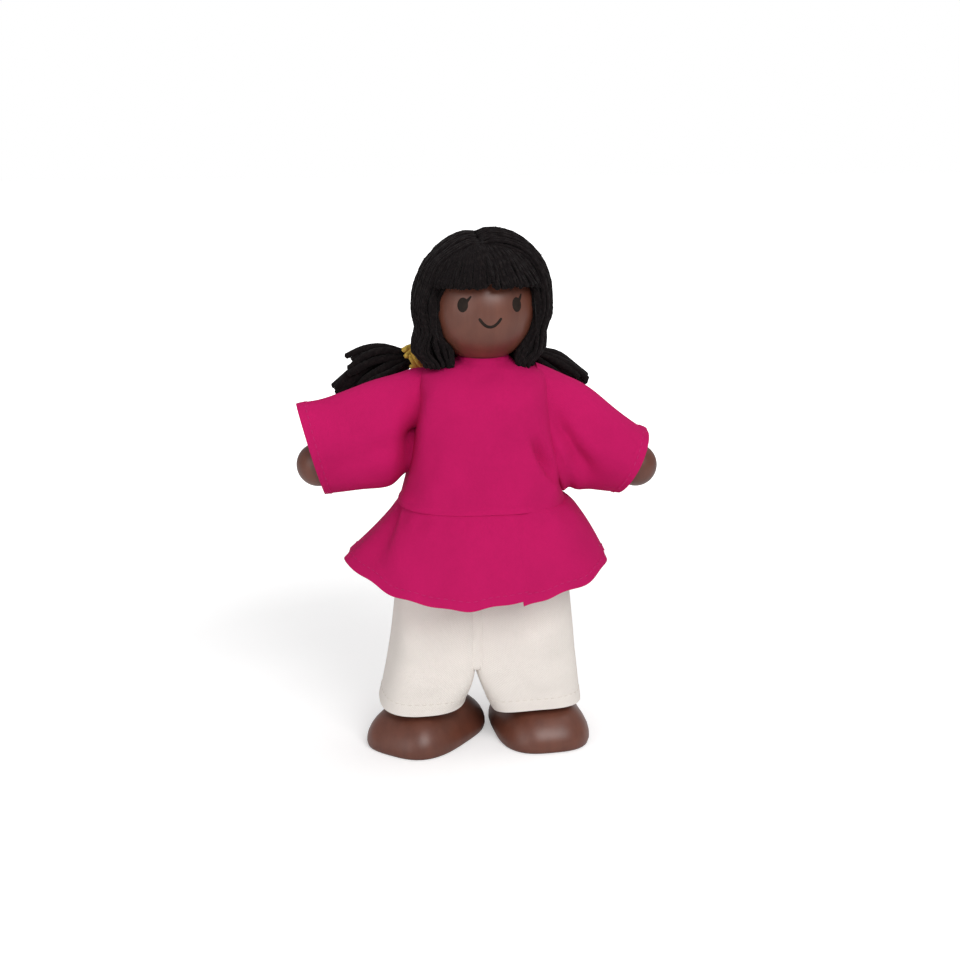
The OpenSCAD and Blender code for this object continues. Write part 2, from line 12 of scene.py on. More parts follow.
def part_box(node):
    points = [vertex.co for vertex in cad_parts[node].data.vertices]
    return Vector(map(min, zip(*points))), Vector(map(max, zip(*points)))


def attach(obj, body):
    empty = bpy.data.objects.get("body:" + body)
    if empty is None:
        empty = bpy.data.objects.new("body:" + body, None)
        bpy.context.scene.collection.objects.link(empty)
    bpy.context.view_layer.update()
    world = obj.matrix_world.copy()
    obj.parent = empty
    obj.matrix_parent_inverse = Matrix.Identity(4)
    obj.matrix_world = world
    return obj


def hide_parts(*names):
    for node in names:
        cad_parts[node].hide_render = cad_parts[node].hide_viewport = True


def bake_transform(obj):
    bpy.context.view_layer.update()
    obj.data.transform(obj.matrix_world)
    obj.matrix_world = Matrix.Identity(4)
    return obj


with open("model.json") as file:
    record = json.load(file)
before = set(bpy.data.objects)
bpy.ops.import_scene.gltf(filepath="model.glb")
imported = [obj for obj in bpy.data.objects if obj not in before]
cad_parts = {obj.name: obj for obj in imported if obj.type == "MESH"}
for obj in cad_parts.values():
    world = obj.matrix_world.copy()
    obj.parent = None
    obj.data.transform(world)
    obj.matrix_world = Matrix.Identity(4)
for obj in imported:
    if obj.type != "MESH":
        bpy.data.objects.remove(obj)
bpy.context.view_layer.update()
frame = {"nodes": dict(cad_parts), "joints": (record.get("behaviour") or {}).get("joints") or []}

bl_info = {
    "name": "Dolls' House Doll",
    "version": (1, 0, 0),
    "blender": (4, 5, 0),
    "location": "3D View > Sidebar > Doll",
    "description": "Dresses a small wooden doll: stained wood, yarn hair, cotton tunic and trousers",
    "category": "Add Mesh",
}

MM = 0.001
# Distance in metres at which the edges of a closed piece are joined
JOIN = 2e-7
# Width of the picture in pixels, for the lens shift
PICTURE = 960
JOINT = {j["name"]: np.array(j["pos_m"]) / MM for j in frame["joints"]}
SIDES = {"right": -1, "left": 1}


def edge_of(node, end, axis):
    """One side of a node's box in millimetres: end 0 is the low side and 1 the high one."""
    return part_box(node)[end]["xyz".index(axis)] / MM


# Sizes that the solids give
HEAD_R = edge_of("head", 1, "x")
HEAD_Z = edge_of("head", 1, "z") - HEAD_R
HAIR_R = edge_of("hair_crown", 1, "x")
HAIR_C = np.array((0.0, 0.3, edge_of("hair_crown", 1, "z") - HAIR_R))
FRINGE_Z = edge_of("hair_fringe", 0, "z")
LOCK_Z = edge_of("hair_lock_left", 0, "z")
WAIST_Z = edge_of("tunic_bodice", 0, "z")
NECK_Z = edge_of("tunic_bodice", 1, "z")
WAIST_A = edge_of("tunic_bodice", 1, "x")
WAIST_B = edge_of("tunic_bodice", 1, "y")
HEM_Z = {side: edge_of("trouser_leg_" + side, 0, "z") for side in SIDES}
LEG_TOP_Z = edge_of("trouser_leg_left", 1, "z")
WELT_TOP_Z = LEG_TOP_Z - 5
SEAT_LOW = edge_of("trouser_seat", 0, "z")
SEAT_TOP = edge_of("trouser_seat", 1, "z")


def srgb(red, green, blue):
    """A colour as a screen shows it, 0 to 255, made linear."""
    return tuple(
        c / 12.92 if c <= 0.04045 else ((c + 0.055) / 1.055) ** 2.4
        for c in (red / 255, green / 255, blue / 255)
    )


def colour_prop(label, text, shade):
    return FloatVectorProperty(
        name=label, description=text, subtype="COLOR", size=3, min=0, max=1, default=srgb(*shade)
    )


def length_prop(label, text, millimetres):
    return FloatProperty(
        name=label, description=text, unit="LENGTH", precision=5, min=0, default=millimetres * MM
    )


class WoodLook(bpy.types.PropertyGroup):
    """Stained wood and the painted face."""

    stain: colour_prop("Stain", "Middle colour of the stained wood", (112, 64, 48))
    stain_dark: colour_prop("Dark grain", "Colour of the wood's dark grain", (85, 45, 33))
    paint: colour_prop("Face paint", "Colour of the eyes and the smile", (32, 22, 16))
    eye_width: length_prop("Eye width", "Width of a painted eye", 2.4)
    eye_height: length_prop("Eye height", "Height of a painted eye", 3.1)
    eye_turn: FloatProperty(
        name="Eye turn", description="How far an eye is round the head from its middle",
        subtype="ANGLE", default=math.radians(30),
    )


class HairLook(bpy.types.PropertyGroup):
    """Yarn hair and its ties."""

    yarn: colour_prop("Yarn", "Colour of the hair's yarn", (17, 12, 13))
    # Painted highlight: the yarn's colour where loose fibres and the plies' crowns would catch light
    yarn_light: colour_prop("Yarn highlight", "Colour of the yarn where its fibres catch light", (40, 33, 32))
    strand: length_prop("Strand", "Thickness of a strand of hair", 0.72)
    rope: length_prop("Rope", "Thickness of a strand in a pigtail", 1.6)
    tie: colour_prop("Tie", "Colour of the hair ties", (246, 206, 96))
    seed: IntProperty(name="Seed", description="Start of the strands' small differences", default=7)


class TunicLook(bpy.types.PropertyGroup):
    """Cotton tunic."""

    cotton: colour_prop("Cotton", "Colour of the tunic", (192, 24, 95))
    thread: colour_prop("Thread", "Colour of the tunic's stitching", (199, 44, 112))
    cloth: length_prop("Cloth", "Thickness of the tunic's cloth", 0.4)
    chest_width: length_prop("Chest width", "Width of the tunic across the chest", 25)
    chest_depth: length_prop("Chest depth", "Depth of the tunic at the chest", 23)
    hem_width: length_prop("Hem width", "Width of the peplum's hem", 52.6)
    hem_depth: length_prop("Hem depth", "Depth of the peplum's hem, front to back", 40)
    pleat: length_prop("Pleat", "Depth of the pleat in the front of the peplum", 0.45)


class TrouserLook(bpy.types.PropertyGroup):
    """Cotton trousers."""

    twill: colour_prop("Twill", "Colour of the trousers", (240, 233, 226))
    thread: colour_prop("Thread", "Colour of the trousers' stitching", (230, 222, 213))
    cloth: length_prop("Cloth", "Thickness of the trousers' cloth", 0.45)


class LimbLook(bpy.types.PropertyGroup):
    """Cords, wires and fastenings."""

    cord: colour_prop("Cord", "Colour of the braided cord", (196, 180, 156))
    wire: colour_prop("Wire", "Colour of the soft wire", (168, 168, 172))
    strip: colour_prop("Strip", "Colour of the hook and loop strips", (216, 210, 204))


class StageLook(bpy.types.PropertyGroup):
    """Camera, light and floor."""

    camera_out: length_prop("Camera distance", "Level distance of the camera from the doll", 300)
    camera_up: length_prop("Camera height", "Height of the camera above the floor", 135)
    camera_turn: FloatProperty(
        name="Camera turn", description="Turn of the camera round the doll, towards its right",
        subtype="ANGLE", default=math.radians(7),
    )
    aim_up: length_prop("Aim height", "Height that the camera looks at", 52)
    key: FloatProperty(name="Key light", description="Power of the main lamp", unit="POWER", default=3.8)
    fill: FloatProperty(name="Fill light", description="Power of the second lamp", unit="POWER", default=1.5)
    top: FloatProperty(name="Top light", description="Power of the lamp overhead", unit="POWER", default=1.4)
    sky: FloatProperty(name="Sky", description="Strength of the light from all round", default=0.38)


# Shapes

# A stitch's length, the gap to the next one and half its thickness, in millimetres
STITCH_LONG, STITCH_GAP, STITCH_HALF = 0.85, 0.6, 0.1
LEAST_CUT, LEAST_SHARE = 10.2, 0.31


def lerp(a, b, t):
    return a + (b - a) * t


def ease(t):
    t = np.clip(t, 0, 1)
    return t * t * (3 - 2 * t)


def hump(x, at, width):
    return np.exp(-(((x - at) / width) ** 2))


def unit(v):
    return v / np.linalg.norm(v)


def through(x, xs, ys):
    """A smooth curve through the given points."""
    xs, ys = np.asarray(xs, float), np.asarray(ys, float)
    slope = np.gradient(ys, xs)
    i = np.clip(np.searchsorted(xs, x) - 1, 0, len(xs) - 2)
    step = xs[i + 1] - xs[i]
    t = (x - xs[i]) / step
    back = 1 - t
    return (
        (1 + 2 * t) * back**2 * ys[i]
        + t * back**2 * step * slope[i]
        + t * t * (1 + 2 * back) * ys[i + 1]
        - t * t * back * step * slope[i + 1]
    )


def squarish(angle, a, b, n, out=0.0):
    """Points of an oval of half-widths a and b, squarer with a larger n and moved outwards by out.
    Angle 0 is the front and a quarter turn is +X."""
    s, c = np.sin(angle), np.cos(angle)
    r = ((np.abs(s) / a) ** n + (np.abs(c) / b) ** n) ** (-1 / n) + out
    return r * s, -r * c


def bent(bm, across, along, shape, size):
    """Adds a flat grid and bends it: shape takes u across and v along, 0 to 1, and gives millimetres.
    size is the grid's own width and length, for its UV map."""
    made = bmesh.ops.create_grid(bm, x_segments=across, y_segments=along, size=0.5)["verts"]
    flat = np.array([v.co[:2] for v in made])
    flat = (flat - flat.min(axis=0)) / np.ptp(flat, axis=0)
    layer = bm.loops.layers.uv.verify()
    for vert, point, (u, v) in zip(made, shape(flat[:, 0], flat[:, 1]) * MM, flat):
        vert.co = point
        for loop in vert.link_loops:
            loop[layer].uv = (u * size[0], v * size[1])


def length_of(route):
    return np.linalg.norm(np.diff(np.asarray(route, float), axis=0), axis=1).sum()


def points_along(route, spots):
    """Points at the given lengths along a route."""
    route = np.asarray(route, float)
    done = np.concatenate(([0], np.cumsum(np.linalg.norm(np.diff(route, axis=0), axis=1))))
    return np.stack([np.interp(spots, done, route[:, k]) for k in range(3)], axis=1)


def tube(bm, path, radii, sides=6):
    """Adds a tube along a path in millimetres, closed at both ends."""
    path = np.asarray(path, float)
    ahead = np.gradient(path, axis=0)
    ahead /= np.linalg.norm(ahead, axis=1)[:, None]
    radii = np.broadcast_to(radii, len(path)).astype(float)
    path = np.concatenate((path[:1] - ahead[:1] * radii[0] * 0.5, path, path[-1:] + ahead[-1:] * radii[-1] * 0.5))
    ahead = np.concatenate((ahead[:1], ahead, ahead[-1:]))
    radii = np.concatenate(([0], radii, [0]))
    out = np.zeros_like(path)
    start = np.cross(ahead[0], (0.31, 0.82, 0.47))
    for i, way in enumerate(ahead):
        start = start - way * start.dot(way)
        start = start / np.linalg.norm(start)
        out[i] = start
    up = np.cross(ahead, out)
    last = len(path) - 1

    def shape(u, v):
        k = np.rint(v * last).astype(int)
        turn = (u * 2 * np.pi)[:, None]
        return path[k] + radii[k][:, None] * (np.cos(turn) * out[k] + np.sin(turn) * up[k])

    bent(bm, sides, last, shape, (1, length_of(path)))


def piece(name, bm, finish):
    """Makes an object of a bmesh, with smooth outward faces."""
    bmesh.ops.remove_doubles(bm, verts=bm.verts, dist=JOIN)
    bmesh.ops.recalc_face_normals(bm, faces=bm.faces)
    for face in bm.faces:
        face.smooth = True
    for edge in bm.edges:
        if edge.is_boundary:
            edge.smooth = False
    mesh = bpy.data.meshes.new(name)
    bm.to_mesh(mesh)
    bm.free()
    mesh.materials.append(finish)
    made = bpy.data.objects.new(name, mesh)
    bpy.context.scene.collection.objects.link(made)
    return made


def thicken(made, thickness):
    """Gives a sheet its thickness, inwards."""
    wall = made.modifiers.new("Cloth thickness", "SOLIDIFY")
    wall.thickness = thickness
    wall.offset = -1


def cloth(name, grid, shape, size, finish, slot, thickness):
    """Makes a sheet of a bent grid, with so many faces across and along, and gives it its thickness."""
    bm = bmesh.new()
    bent(bm, *grid, shape, size)
    made = piece(name, bm, finish)
    thicken(made, thickness)
    return made


def dress(node, finish):
    """Gives a solid's own mesh its finish."""
    materials = frame["nodes"][node].data.materials
    materials.clear()
    materials.append(finish)


def declare_sheet(made, width, length):
    """Works out the area of a sheet of cloth of that cut size in millimetres, each side raised to LEAST_CUT if it is
    shorter.
    The area is that of the piece's own faces, kept between LEAST_SHARE of the cut and the whole cut; it is neither kept
    nor returned."""
    area = sum(f.area for f in made.data.polygons)
    width, length = max(width, LEAST_CUT), max(length, LEAST_CUT)
    area = min(max(area, LEAST_SHARE * width * length * MM * MM), width * length * MM * MM)


def stitches(name, route, finish):
    """A row of stitches along a route of points in millimetres."""
    bm = bmesh.new()
    at, end = STITCH_GAP / 2, length_of(route)
    while at + STITCH_LONG < end:
        path = points_along(route, np.linspace(at, at + STITCH_LONG, 5))
        tube(bm, path, STITCH_HALF * np.array((0.6, 1, 1.1, 1, 0.6)), 5)
        at += STITCH_LONG + STITCH_GAP
    return piece(name, bm, finish)


# Finishes

def socket_group(name, inputs, outputs):
    tree = bpy.data.node_groups.new(name, "ShaderNodeTree")
    for kind, label, value in inputs:
        made = tree.interface.new_socket(label, in_out="INPUT", socket_type="NodeSocket" + kind)
        if value is not None:
            made.default_value = value
    for kind, label in outputs:
        tree.interface.new_socket(label, in_out="OUTPUT", socket_type="NodeSocket" + kind)
    return tree, tree.nodes.new("NodeGroupInput"), tree.nodes.new("NodeGroupOutput")


def add(tree, kind, inputs=(), **settings):
    """Adds a shader node; an input is a value or another node's output."""
    made = tree.nodes.new("ShaderNode" + kind)
    for key, value in settings.items():
        setattr(made, key, value)
    for key, value in dict(inputs).items():
        if isinstance(value, bpy.types.NodeSocket):
            tree.links.new(value, made.inputs[key])
        else:
            made.inputs[key].default_value = value
    return made


def sums(tree, operation, a, b=0.0, c=0.0):
    return add(tree, "Math", {0: a, 1: b, 2: c}, operation=operation).outputs[0]


def yarn_group():
    """Twisted yarn: a height that follows the plies, and a mask of painted highlight where loose fibres and the plies'
    crowns would catch light.
    """
    if "Yarn twist" in bpy.data.node_groups:
        return bpy.data.node_groups["Yarn twist"]
    tree, take, give = socket_group(
        "Yarn twist",
        [("Vector", "UV", None), ("Vector", "Place", None), ("Float", "Plies", 2.0), ("Float", "Pitch", 1.6)],
        [("Float", "Height"), ("Float", "Fibre highlight")],
    )
    split = add(tree, "SeparateXYZ", {"Vector": take.outputs["UV"]})
    along = sums(tree, "DIVIDE", split.outputs["Y"], take.outputs["Pitch"])
    phase = sums(tree, "MULTIPLY_ADD", split.outputs["X"], take.outputs["Plies"], along)
    ply = sums(tree, "ABSOLUTE", sums(tree, "SINE", sums(tree, "MULTIPLY", phase, math.pi)))
    fluff = add(tree, "TexNoise", {"Vector": take.outputs["Place"], "Scale": 5200.0, "Detail": 3.0, "Roughness": 0.7})
    tree.links.new(sums(tree, "MULTIPLY_ADD", fluff.outputs["Fac"], 0.7, ply), give.inputs["Height"])
    # Painted highlight: random patches of fluff, brighter on the plies' crowns, lighten the yarn's colour
    glint_patches = add(tree, "TexNoise", {"Vector": take.outputs["Place"], "Scale": 1500.0, "Detail": 4.0, "Roughness": 0.8})
    mask = add(tree, "MapRange", {"Value": glint_patches.outputs["Fac"], "From Min": 0.48, "From Max": 0.74})
    tree.links.new(
        sums(tree, "MULTIPLY", mask.outputs[0], sums(tree, "MULTIPLY_ADD", ply, 0.7, 0.3)), give.inputs["Fibre highlight"]
    )
    return tree


def weave_group():
    """Woven cloth: the threads' height and a slow change of tone."""
    if "Cloth weave" in bpy.data.node_groups:
        return bpy.data.node_groups["Cloth weave"]
    tree, take, give = socket_group(
        "Cloth weave",
        [("Vector", "UV", None), ("Vector", "Place", None), ("Float", "Threads", 3.0), ("Float", "Twill", 0.0)],
        [("Float", "Height"), ("Float", "Tone")],
    )
    split = add(tree, "SeparateXYZ", {"Vector": take.outputs["UV"]})
    turn = sums(tree, "MULTIPLY", take.outputs["Threads"], 2 * math.pi)
    across = sums(tree, "MULTIPLY", split.outputs["X"], turn)
    along = sums(tree, "MULTIPLY", split.outputs["Y"], turn)
    plain = sums(tree, "MULTIPLY", sums(tree, "SINE", across), sums(tree, "SINE", along))
    slant = sums(tree, "SINE", sums(tree, "MULTIPLY", sums(tree, "ADD", across, along), 0.5))
    ridge = sums(tree, "MULTIPLY_ADD", plain, 0.45, slant)
    woven = add(tree, "Mix", {0: take.outputs["Twill"], 2: plain, 3: ridge}, data_type="FLOAT")
    slub = add(tree, "TexNoise", {"Vector": take.outputs["Place"], "Scale": 2400.0, "Detail": 2.0})
    tree.links.new(sums(tree, "MULTIPLY_ADD", slub.outputs["Fac"], 1.2, woven.outputs[0]), give.inputs["Height"])
    slow = add(tree, "TexNoise", {"Vector": take.outputs["Place"], "Scale": 90.0, "Detail": 3.0})
    fine = sums(tree, "MULTIPLY_ADD", woven.outputs[0], 0.16, sums(tree, "MULTIPLY", slub.outputs["Fac"], 0.3))
    tree.links.new(sums(tree, "MULTIPLY_ADD", slow.outputs["Fac"], 0.7, fine), give.inputs["Tone"])
    return tree


def grain_group():
    """Wood grain that runs along Z, with pores."""
    if "Wood grain" in bpy.data.node_groups:
        return bpy.data.node_groups["Wood grain"]
    tree, take, give = socket_group(
        "Wood grain", [("Vector", "Place", None), ("Float", "Stretch", 0.12)], [("Float", "Grain"), ("Float", "Pores")]
    )
    size = add(tree, "CombineXYZ", {"X": 1.0, "Y": 1.0, "Z": take.outputs["Stretch"]})
    drawn = add(tree, "VectorMath", {0: take.outputs["Place"], 1: size.outputs[0]}, operation="MULTIPLY")
    bands = add(tree, "TexNoise", {"Vector": drawn.outputs[0], "Scale": 420.0, "Detail": 5.0, "Roughness": 0.62})
    slow = add(tree, "TexNoise", {"Vector": take.outputs["Place"], "Scale": 110.0, "Detail": 2.0})
    tree.links.new(
        sums(tree, "MULTIPLY_ADD", slow.outputs["Fac"], 0.5, sums(tree, "MULTIPLY", bands.outputs["Fac"], 0.55)),
        give.inputs["Grain"],
    )
    pores = add(tree, "TexNoise", {"Vector": drawn.outputs[0], "Scale": 3200.0, "Detail": 2.0})
    tree.links.new(pores.outputs["Fac"], give.inputs["Pores"])
    return tree


def finish(name, roughness, **shader):
    """A new material with its shader, object coordinates and UV map."""
    made = bpy.data.materials.new(name)
    made.use_nodes = True
    tree = made.node_tree
    bsdf = tree.nodes["Principled BSDF"]
    bsdf.inputs["Roughness"].default_value = roughness
    for key, value in shader.items():
        bsdf.inputs[key.replace("_", " ")].default_value = value
    return made, tree, bsdf, tree.nodes.new("ShaderNodeTexCoord")


def colour_from(tree, bsdf, mask, low, high, start=0.0, end=1.0):
    """Base colour from low to high as a mask goes from start to end."""
    share = add(tree, "MapRange", {"Value": mask, "From Min": start, "From Max": end})
    mix = add(tree, "Mix", {0: share.outputs[0], 6: (*low, 1), 7: (*high, 1)}, data_type="RGBA")
    tree.links.new(mix.outputs[2], bsdf.inputs["Base Color"])


def raise_from(tree, bsdf, height, strength, distance):
    bump = add(tree, "Bump", {"Height": height, "Strength": strength, "Distance": distance * MM})
    tree.links.new(bump.outputs[0], bsdf.inputs["Normal"])


def wood_finish(name, low, high, stretch=0.12):
    made, tree, bsdf, spots = finish(name, 0.42, Coat_Weight=0.18, Coat_Roughness=0.3)
    grain = add(tree, "Group", node_tree=grain_group())
    tree.links.new(spots.outputs["Object"], grain.inputs["Place"])
    grain.inputs["Stretch"].default_value = stretch
    colour_from(tree, bsdf, grain.outputs["Grain"], low, high, 0.3, 0.72)
    raise_from(tree, bsdf, grain.outputs["Pores"], 0.25, 0.05)
    rough = add(tree, "MapRange", {"Value": grain.outputs["Grain"], "To Min": 0.5, "To Max": 0.36})
    tree.links.new(rough.outputs[0], bsdf.inputs["Roughness"])
    return made


def yarn_finish(name, low, high, plies=2.0, pitch=1.7):
    made, tree, bsdf, spots = finish(name, 0.9, Specular_IOR_Level=0.12, Sheen_Weight=0.03, Sheen_Roughness=0.5)
    yarn = add(tree, "Group", node_tree=yarn_group())
    tree.links.new(spots.outputs["UV"], yarn.inputs["UV"])
    tree.links.new(spots.outputs["Object"], yarn.inputs["Place"])
    yarn.inputs["Plies"].default_value = plies
    yarn.inputs["Pitch"].default_value = pitch
    # Base colour runs from the yarn's own colour to the painted fibre highlight
    colour_from(tree, bsdf, yarn.outputs["Fibre highlight"], low, high)
    raise_from(tree, bsdf, yarn.outputs["Height"], 0.6, 0.2)
    return made


def cotton_finish(name, colour, threads, twill, dark=0.86, light=1.08, bump=0.5):
    made, tree, bsdf, spots = finish(name, 0.9, Specular_IOR_Level=0.1)
    weave = add(tree, "Group", node_tree=weave_group())
    tree.links.new(spots.outputs["UV"], weave.inputs["UV"])
    tree.links.new(spots.outputs["Object"], weave.inputs["Place"])
    weave.inputs["Threads"].default_value = threads
    weave.inputs["Twill"].default_value = twill
    low, high = (tuple(min(1.0, c * k) for c in colour) for k in (dark, light))
    colour_from(tree, bsdf, weave.outputs["Tone"], low, high, 0.2, 0.8)
    raise_from(tree, bsdf, weave.outputs["Height"], bump, 0.06)
    return made


# Garment forms, in millimetres

# Bodice from waist to neck: height, share of the way from waist to chest, width, depth and squareness
BODICE = np.array((
    (0, 0, 1, 1, 2.6), (0.17, 0.36, 1, 1, 2.8), (0.38, 0.64, 1, 1, 3.1), (0.6, 0.86, 1, 1, 3.3),
    (0.77, 1, 1, 0.94, 3.4), (0.86, 1, 1, 0.8, 3.1), (0.925, 1, 0.93, 0.66, 2.7),
    (0.965, 1, 0.72, 0.58, 2.4), (1, 1, 0.46, 0.5, 2), (1.03, 1, 0.42, 0.46, 2),
))
# Folds of the bodice: turn from the front, height, lean, half-turn, half-height and depth
BODICE_FOLDS = (
    (51, 0.34, -62, 6, 0.15, -2.4), (62, 0.3, -40, 7, 0.14, 0.5), (60, 0.12, 55, 8, 0.14, 0.4),
    (-50, 0.3, 30, 8, 0.16, -0.4), (-56, 0.62, 14, 9, 0.24, 0.7), (22, 0.86, 70, 8, 0.2, -0.3),
    (-26, 0.84, -60, 9, 0.2, -0.35), (8, 0.95, 160, 16, 0.05, -0.25),
)
ARMHOLE_TOP = NECK_Z - 2.3
ARMHOLE_LOW = ARMHOLE_TOP - 22.5
ARMHOLE_MID = (ARMHOLE_TOP + ARMHOLE_LOW) / 2
SHOULDER_Z = JOINT["shoulder_lift_right"][2]
# Sleeve: length, lift above the arm in degrees, height and depth of the cuff, and its tilt in degrees
SLEEVE = {"right": (20.4, 16.2, 18.0, 12.0, 4.0), "left": (18.7, 7.5, 13.6, 13.0, 0.0)}
# Folds of a sleeve: turn from the front, share of its length, lean, half-turn, half-length and depth
SLEEVE_FOLDS = {
    "right": (
        (0, -0.03, 0, 62, 0.15, -4.1), (-46, -0.02, 0, 48, 0.12, -3.8), (-30, 0.4, 50, 16, 0.2, 0.3),
        (28, 0.45, -40, 18, 0.18, -0.3), (90, 0.32, 0, 46, 0.24, 0.6), (90, 0.03, 0, 44, 0.14, 1.1),
        (-90, 0.3, 0, 30, 0.2, 0.3), (90, 1.0, 0, 30, 0.14, 0.8),
        (180, 0.12, 30, 40, 0.1, -1.0), (150, 0.5, 50, 14, 0.16, 0.3),
    ),
    "left": (
        (16, 0.1, -120, 25, 0.15, -1.5), (-32, 0.33, -80, 24, 0.2, -1.4), (42, -0.02, 0, 44, 0.2, 2.3),
        (-26, 0.1, -60, 22, 0.1, 1.2), (-58, -0.03, 0, 34, 0.12, 1.5), (90, 0.35, 0, 44, 0.24, 1.2),
        (-90, 0.32, 0, 40, 0.2, 0.9), (-88, 0.06, 0, 34, 0.11, 1.7),
        (112, 1.0, 0, 13, 0.09, 0.9), (180, 0.12, 30, 40, 0.1, -1.0), (150, 0.5, 50, 14, 0.16, 0.3),
    ),
}
# Share of a sleeve's length at which it is cut in two
SLEEVE_CUT = 0.25
# Flat length of a whole sleeve
SLEEVE_FLAT = 20.5
PLEAT_AT = math.radians(19)
PEPLUM_DROP = 14.8
# Waves of the peplum: turn from the front, half-turn and depth at the hem
PEPLUM_WAVES = (
    (-38, 12, 0.3), (-84, 10, 0.5), (-98, 8, -0.7), (-16, 16, 0.3), (10, 7, -0.5), (40, 9, -0.5), (56, 10, 0.6),
    (84, 5, -1.3), (72, 7, 0.4), (97, 7, 0.6), (118, 10, -0.9), (140, 11, 0.9), (160, 9, -0.7),
    (-118, 10, 0.8), (-140, 10, -0.9), (-162, 9, 0.8),
)


def bodice_half(f, look):
    share, wide, deep, n = (through(f, BODICE[:, 0], BODICE[:, k]) for k in (1, 2, 3, 4))
    return (
        lerp(WAIST_A, look.chest_width / MM / 2, share) * wide,
        lerp(WAIST_B, look.chest_depth / MM / 2, share) * deep,
        n,
    )


def bodice_shape(look):
    def shape(u, v):
        angle = lerp(-np.pi, np.pi + 0.09, u)
        v = lerp(-0.012, 1.03, v)
        a, b, n = bodice_half(np.maximum(v, 0), look)
        turn = np.degrees(angle)
        folds = 0.14 * hump(v, 0.12, 0.1) * np.sin(13 * angle + 0.6)
        folds += 0.42 * hump(v, -0.012, 0.02) * (1 - 0.85 * ease((turn - 24) / 14) * ease((128 - turn) / 20))
        folds += 0.7 * hump(turn, -74, 16) * hump(v, 0.035, 0.04)
        for at, start, lean, width, tall, depth in BODICE_FOLDS:
            folds += depth * hump(turn, at + lean * (v - start), width) * hump(v, start, tall)
        folds += 0.36 * ease((turn - 172) / 6)
        x, y = squarish(angle, a, b, n, folds)
        return np.stack((x, y, lerp(WAIST_Z, NECK_Z, v)), axis=1)

    return shape


def sleeve_frame(side, look):
    long, lift, cuff, deep, tilt = SLEEVE[side]
    arm = JOINT["elbow_bend_" + side] - JOINT["shoulder_lift_" + side]
    drop = math.atan2(-arm[2], abs(arm[0])) - math.radians(lift)
    s = SIDES[side]
    high, low = ((ARMHOLE_TOP - WAIST_Z) / (NECK_Z - WAIST_Z), (ARMHOLE_LOW - WAIST_Z) / (NECK_Z - WAIST_Z))
    top, foot = (float(bodice_half(np.array([f]), look)[0][0]) for f in (high, low))
    start = np.array((s * ((top + foot) / 2 + 0.1), 0, ARMHOLE_MID))
    way = np.array((s * math.cos(drop), 0, -math.sin(drop)))
    rise = unit(np.array((s * (top - foot), 0, ARMHOLE_TOP - ARMHOLE_LOW)))
    lean = drop + math.radians(tilt)
    cuff_rise = np.array((s * math.sin(lean), 0, math.cos(lean)))
    return s, start, way * long, rise, cuff_rise, cuff, deep


def sleeve_shape(side, look, begin, end):
    s, start, way, rise, cuff_rise, cuff, deep = sleeve_frame(side, look)

    def shape(u, v):
        t = lerp(begin, end, v)
        angle = u * 2 * np.pi
        half_d = lerp(6.4, deep / 2, t) - 0.5 * hump(t, 0.05, 0.12)
        half_h = lerp(ARMHOLE_TOP - ARMHOLE_LOW, cuff, t) / 2
        turn = np.degrees(angle)
        folds = 0.2 * np.sin(math.pi * t) * np.sin(5 * angle + 2.1 * t + s)
        for at, where, lean, width, tall, depth in SLEEVE_FOLDS[side]:
            away = (turn - at - lean * (t - where) + 180) % 360 - 180
            folds += depth * hump(away, 0, width) * hump(t, where, tall)
        folds += 0.1 * ease((t - 0.9) / 0.02)
        y, z = squarish(angle + math.pi / 2, half_d, half_h, lerp(2.1, 1.85, t), folds)
        lift = rise[None, :] * (1 - t)[:, None] + cuff_rise[None, :] * t[:, None]
        lift /= np.linalg.norm(lift, axis=1)[:, None]
        centre = start + t[:, None] * way
        points = centre + np.outer(-y, (0, 1, 0)) + lift * z[:, None]
        points[:, 0] -= s * 0.8 * np.clip(1 - t, 0, 1) ** 3 * (points[:, 1] / 6.6) ** 2
        return points

    return shape


def peplum_point(angle, t, look, out=0.0):
    """A point of the peplum at an angle from the front and a share of the way from waist to hem."""
    turn = np.degrees(angle)
    a = lerp(WAIST_A, look.hem_width / MM / 2, t ** np.where(angle < 0, 1.28, 0.72))
    b = lerp(WAIST_B, look.hem_depth / MM / 2, t**0.9)
    folds = 0
    for at, width, depth in PEPLUM_WAVES:
        folds = folds + depth * hump(turn, at, width)
    folds = folds * t**0.8 + 0.14 * np.sin(23 * angle) * hump(t, 0.16, 0.1) + out
    folds = folds - 2.8 * t**0.35 * (1 - 0.72 * t * t) * hump(turn, -86 + 21 * t, 6 + 8 * t)
    folds = folds - 0.7 * hump(t, 0.16, 0.14) * hump(turn, 30 + 30 * t, 10)
    folds = folds + 0.1 * ease((t - 0.885) / 0.02)
    x, y = squarish(angle, a, b, lerp(2.6, 2.2, t), folds)
    r = np.hypot(x, y)
    z = WAIST_Z - t * PEPLUM_DROP - 1.7 * t * (1 - 2 * (x / r) ** 2) + 0.2 * t * np.sin(5 * angle + 0.4)
    hem = 1.7 * hump(turn, -92, 26) - 0.6 * hump(turn, -14, 16) - 0.7 * hump(turn, -50, 14) + 1.3 * hump(turn, 74, 15)
    z = z + t * hem
    z = z + 0.18 * t * t * np.sin(17 * angle + 1.3)
    return np.stack((x - 1.2 * t, y, z), axis=1)


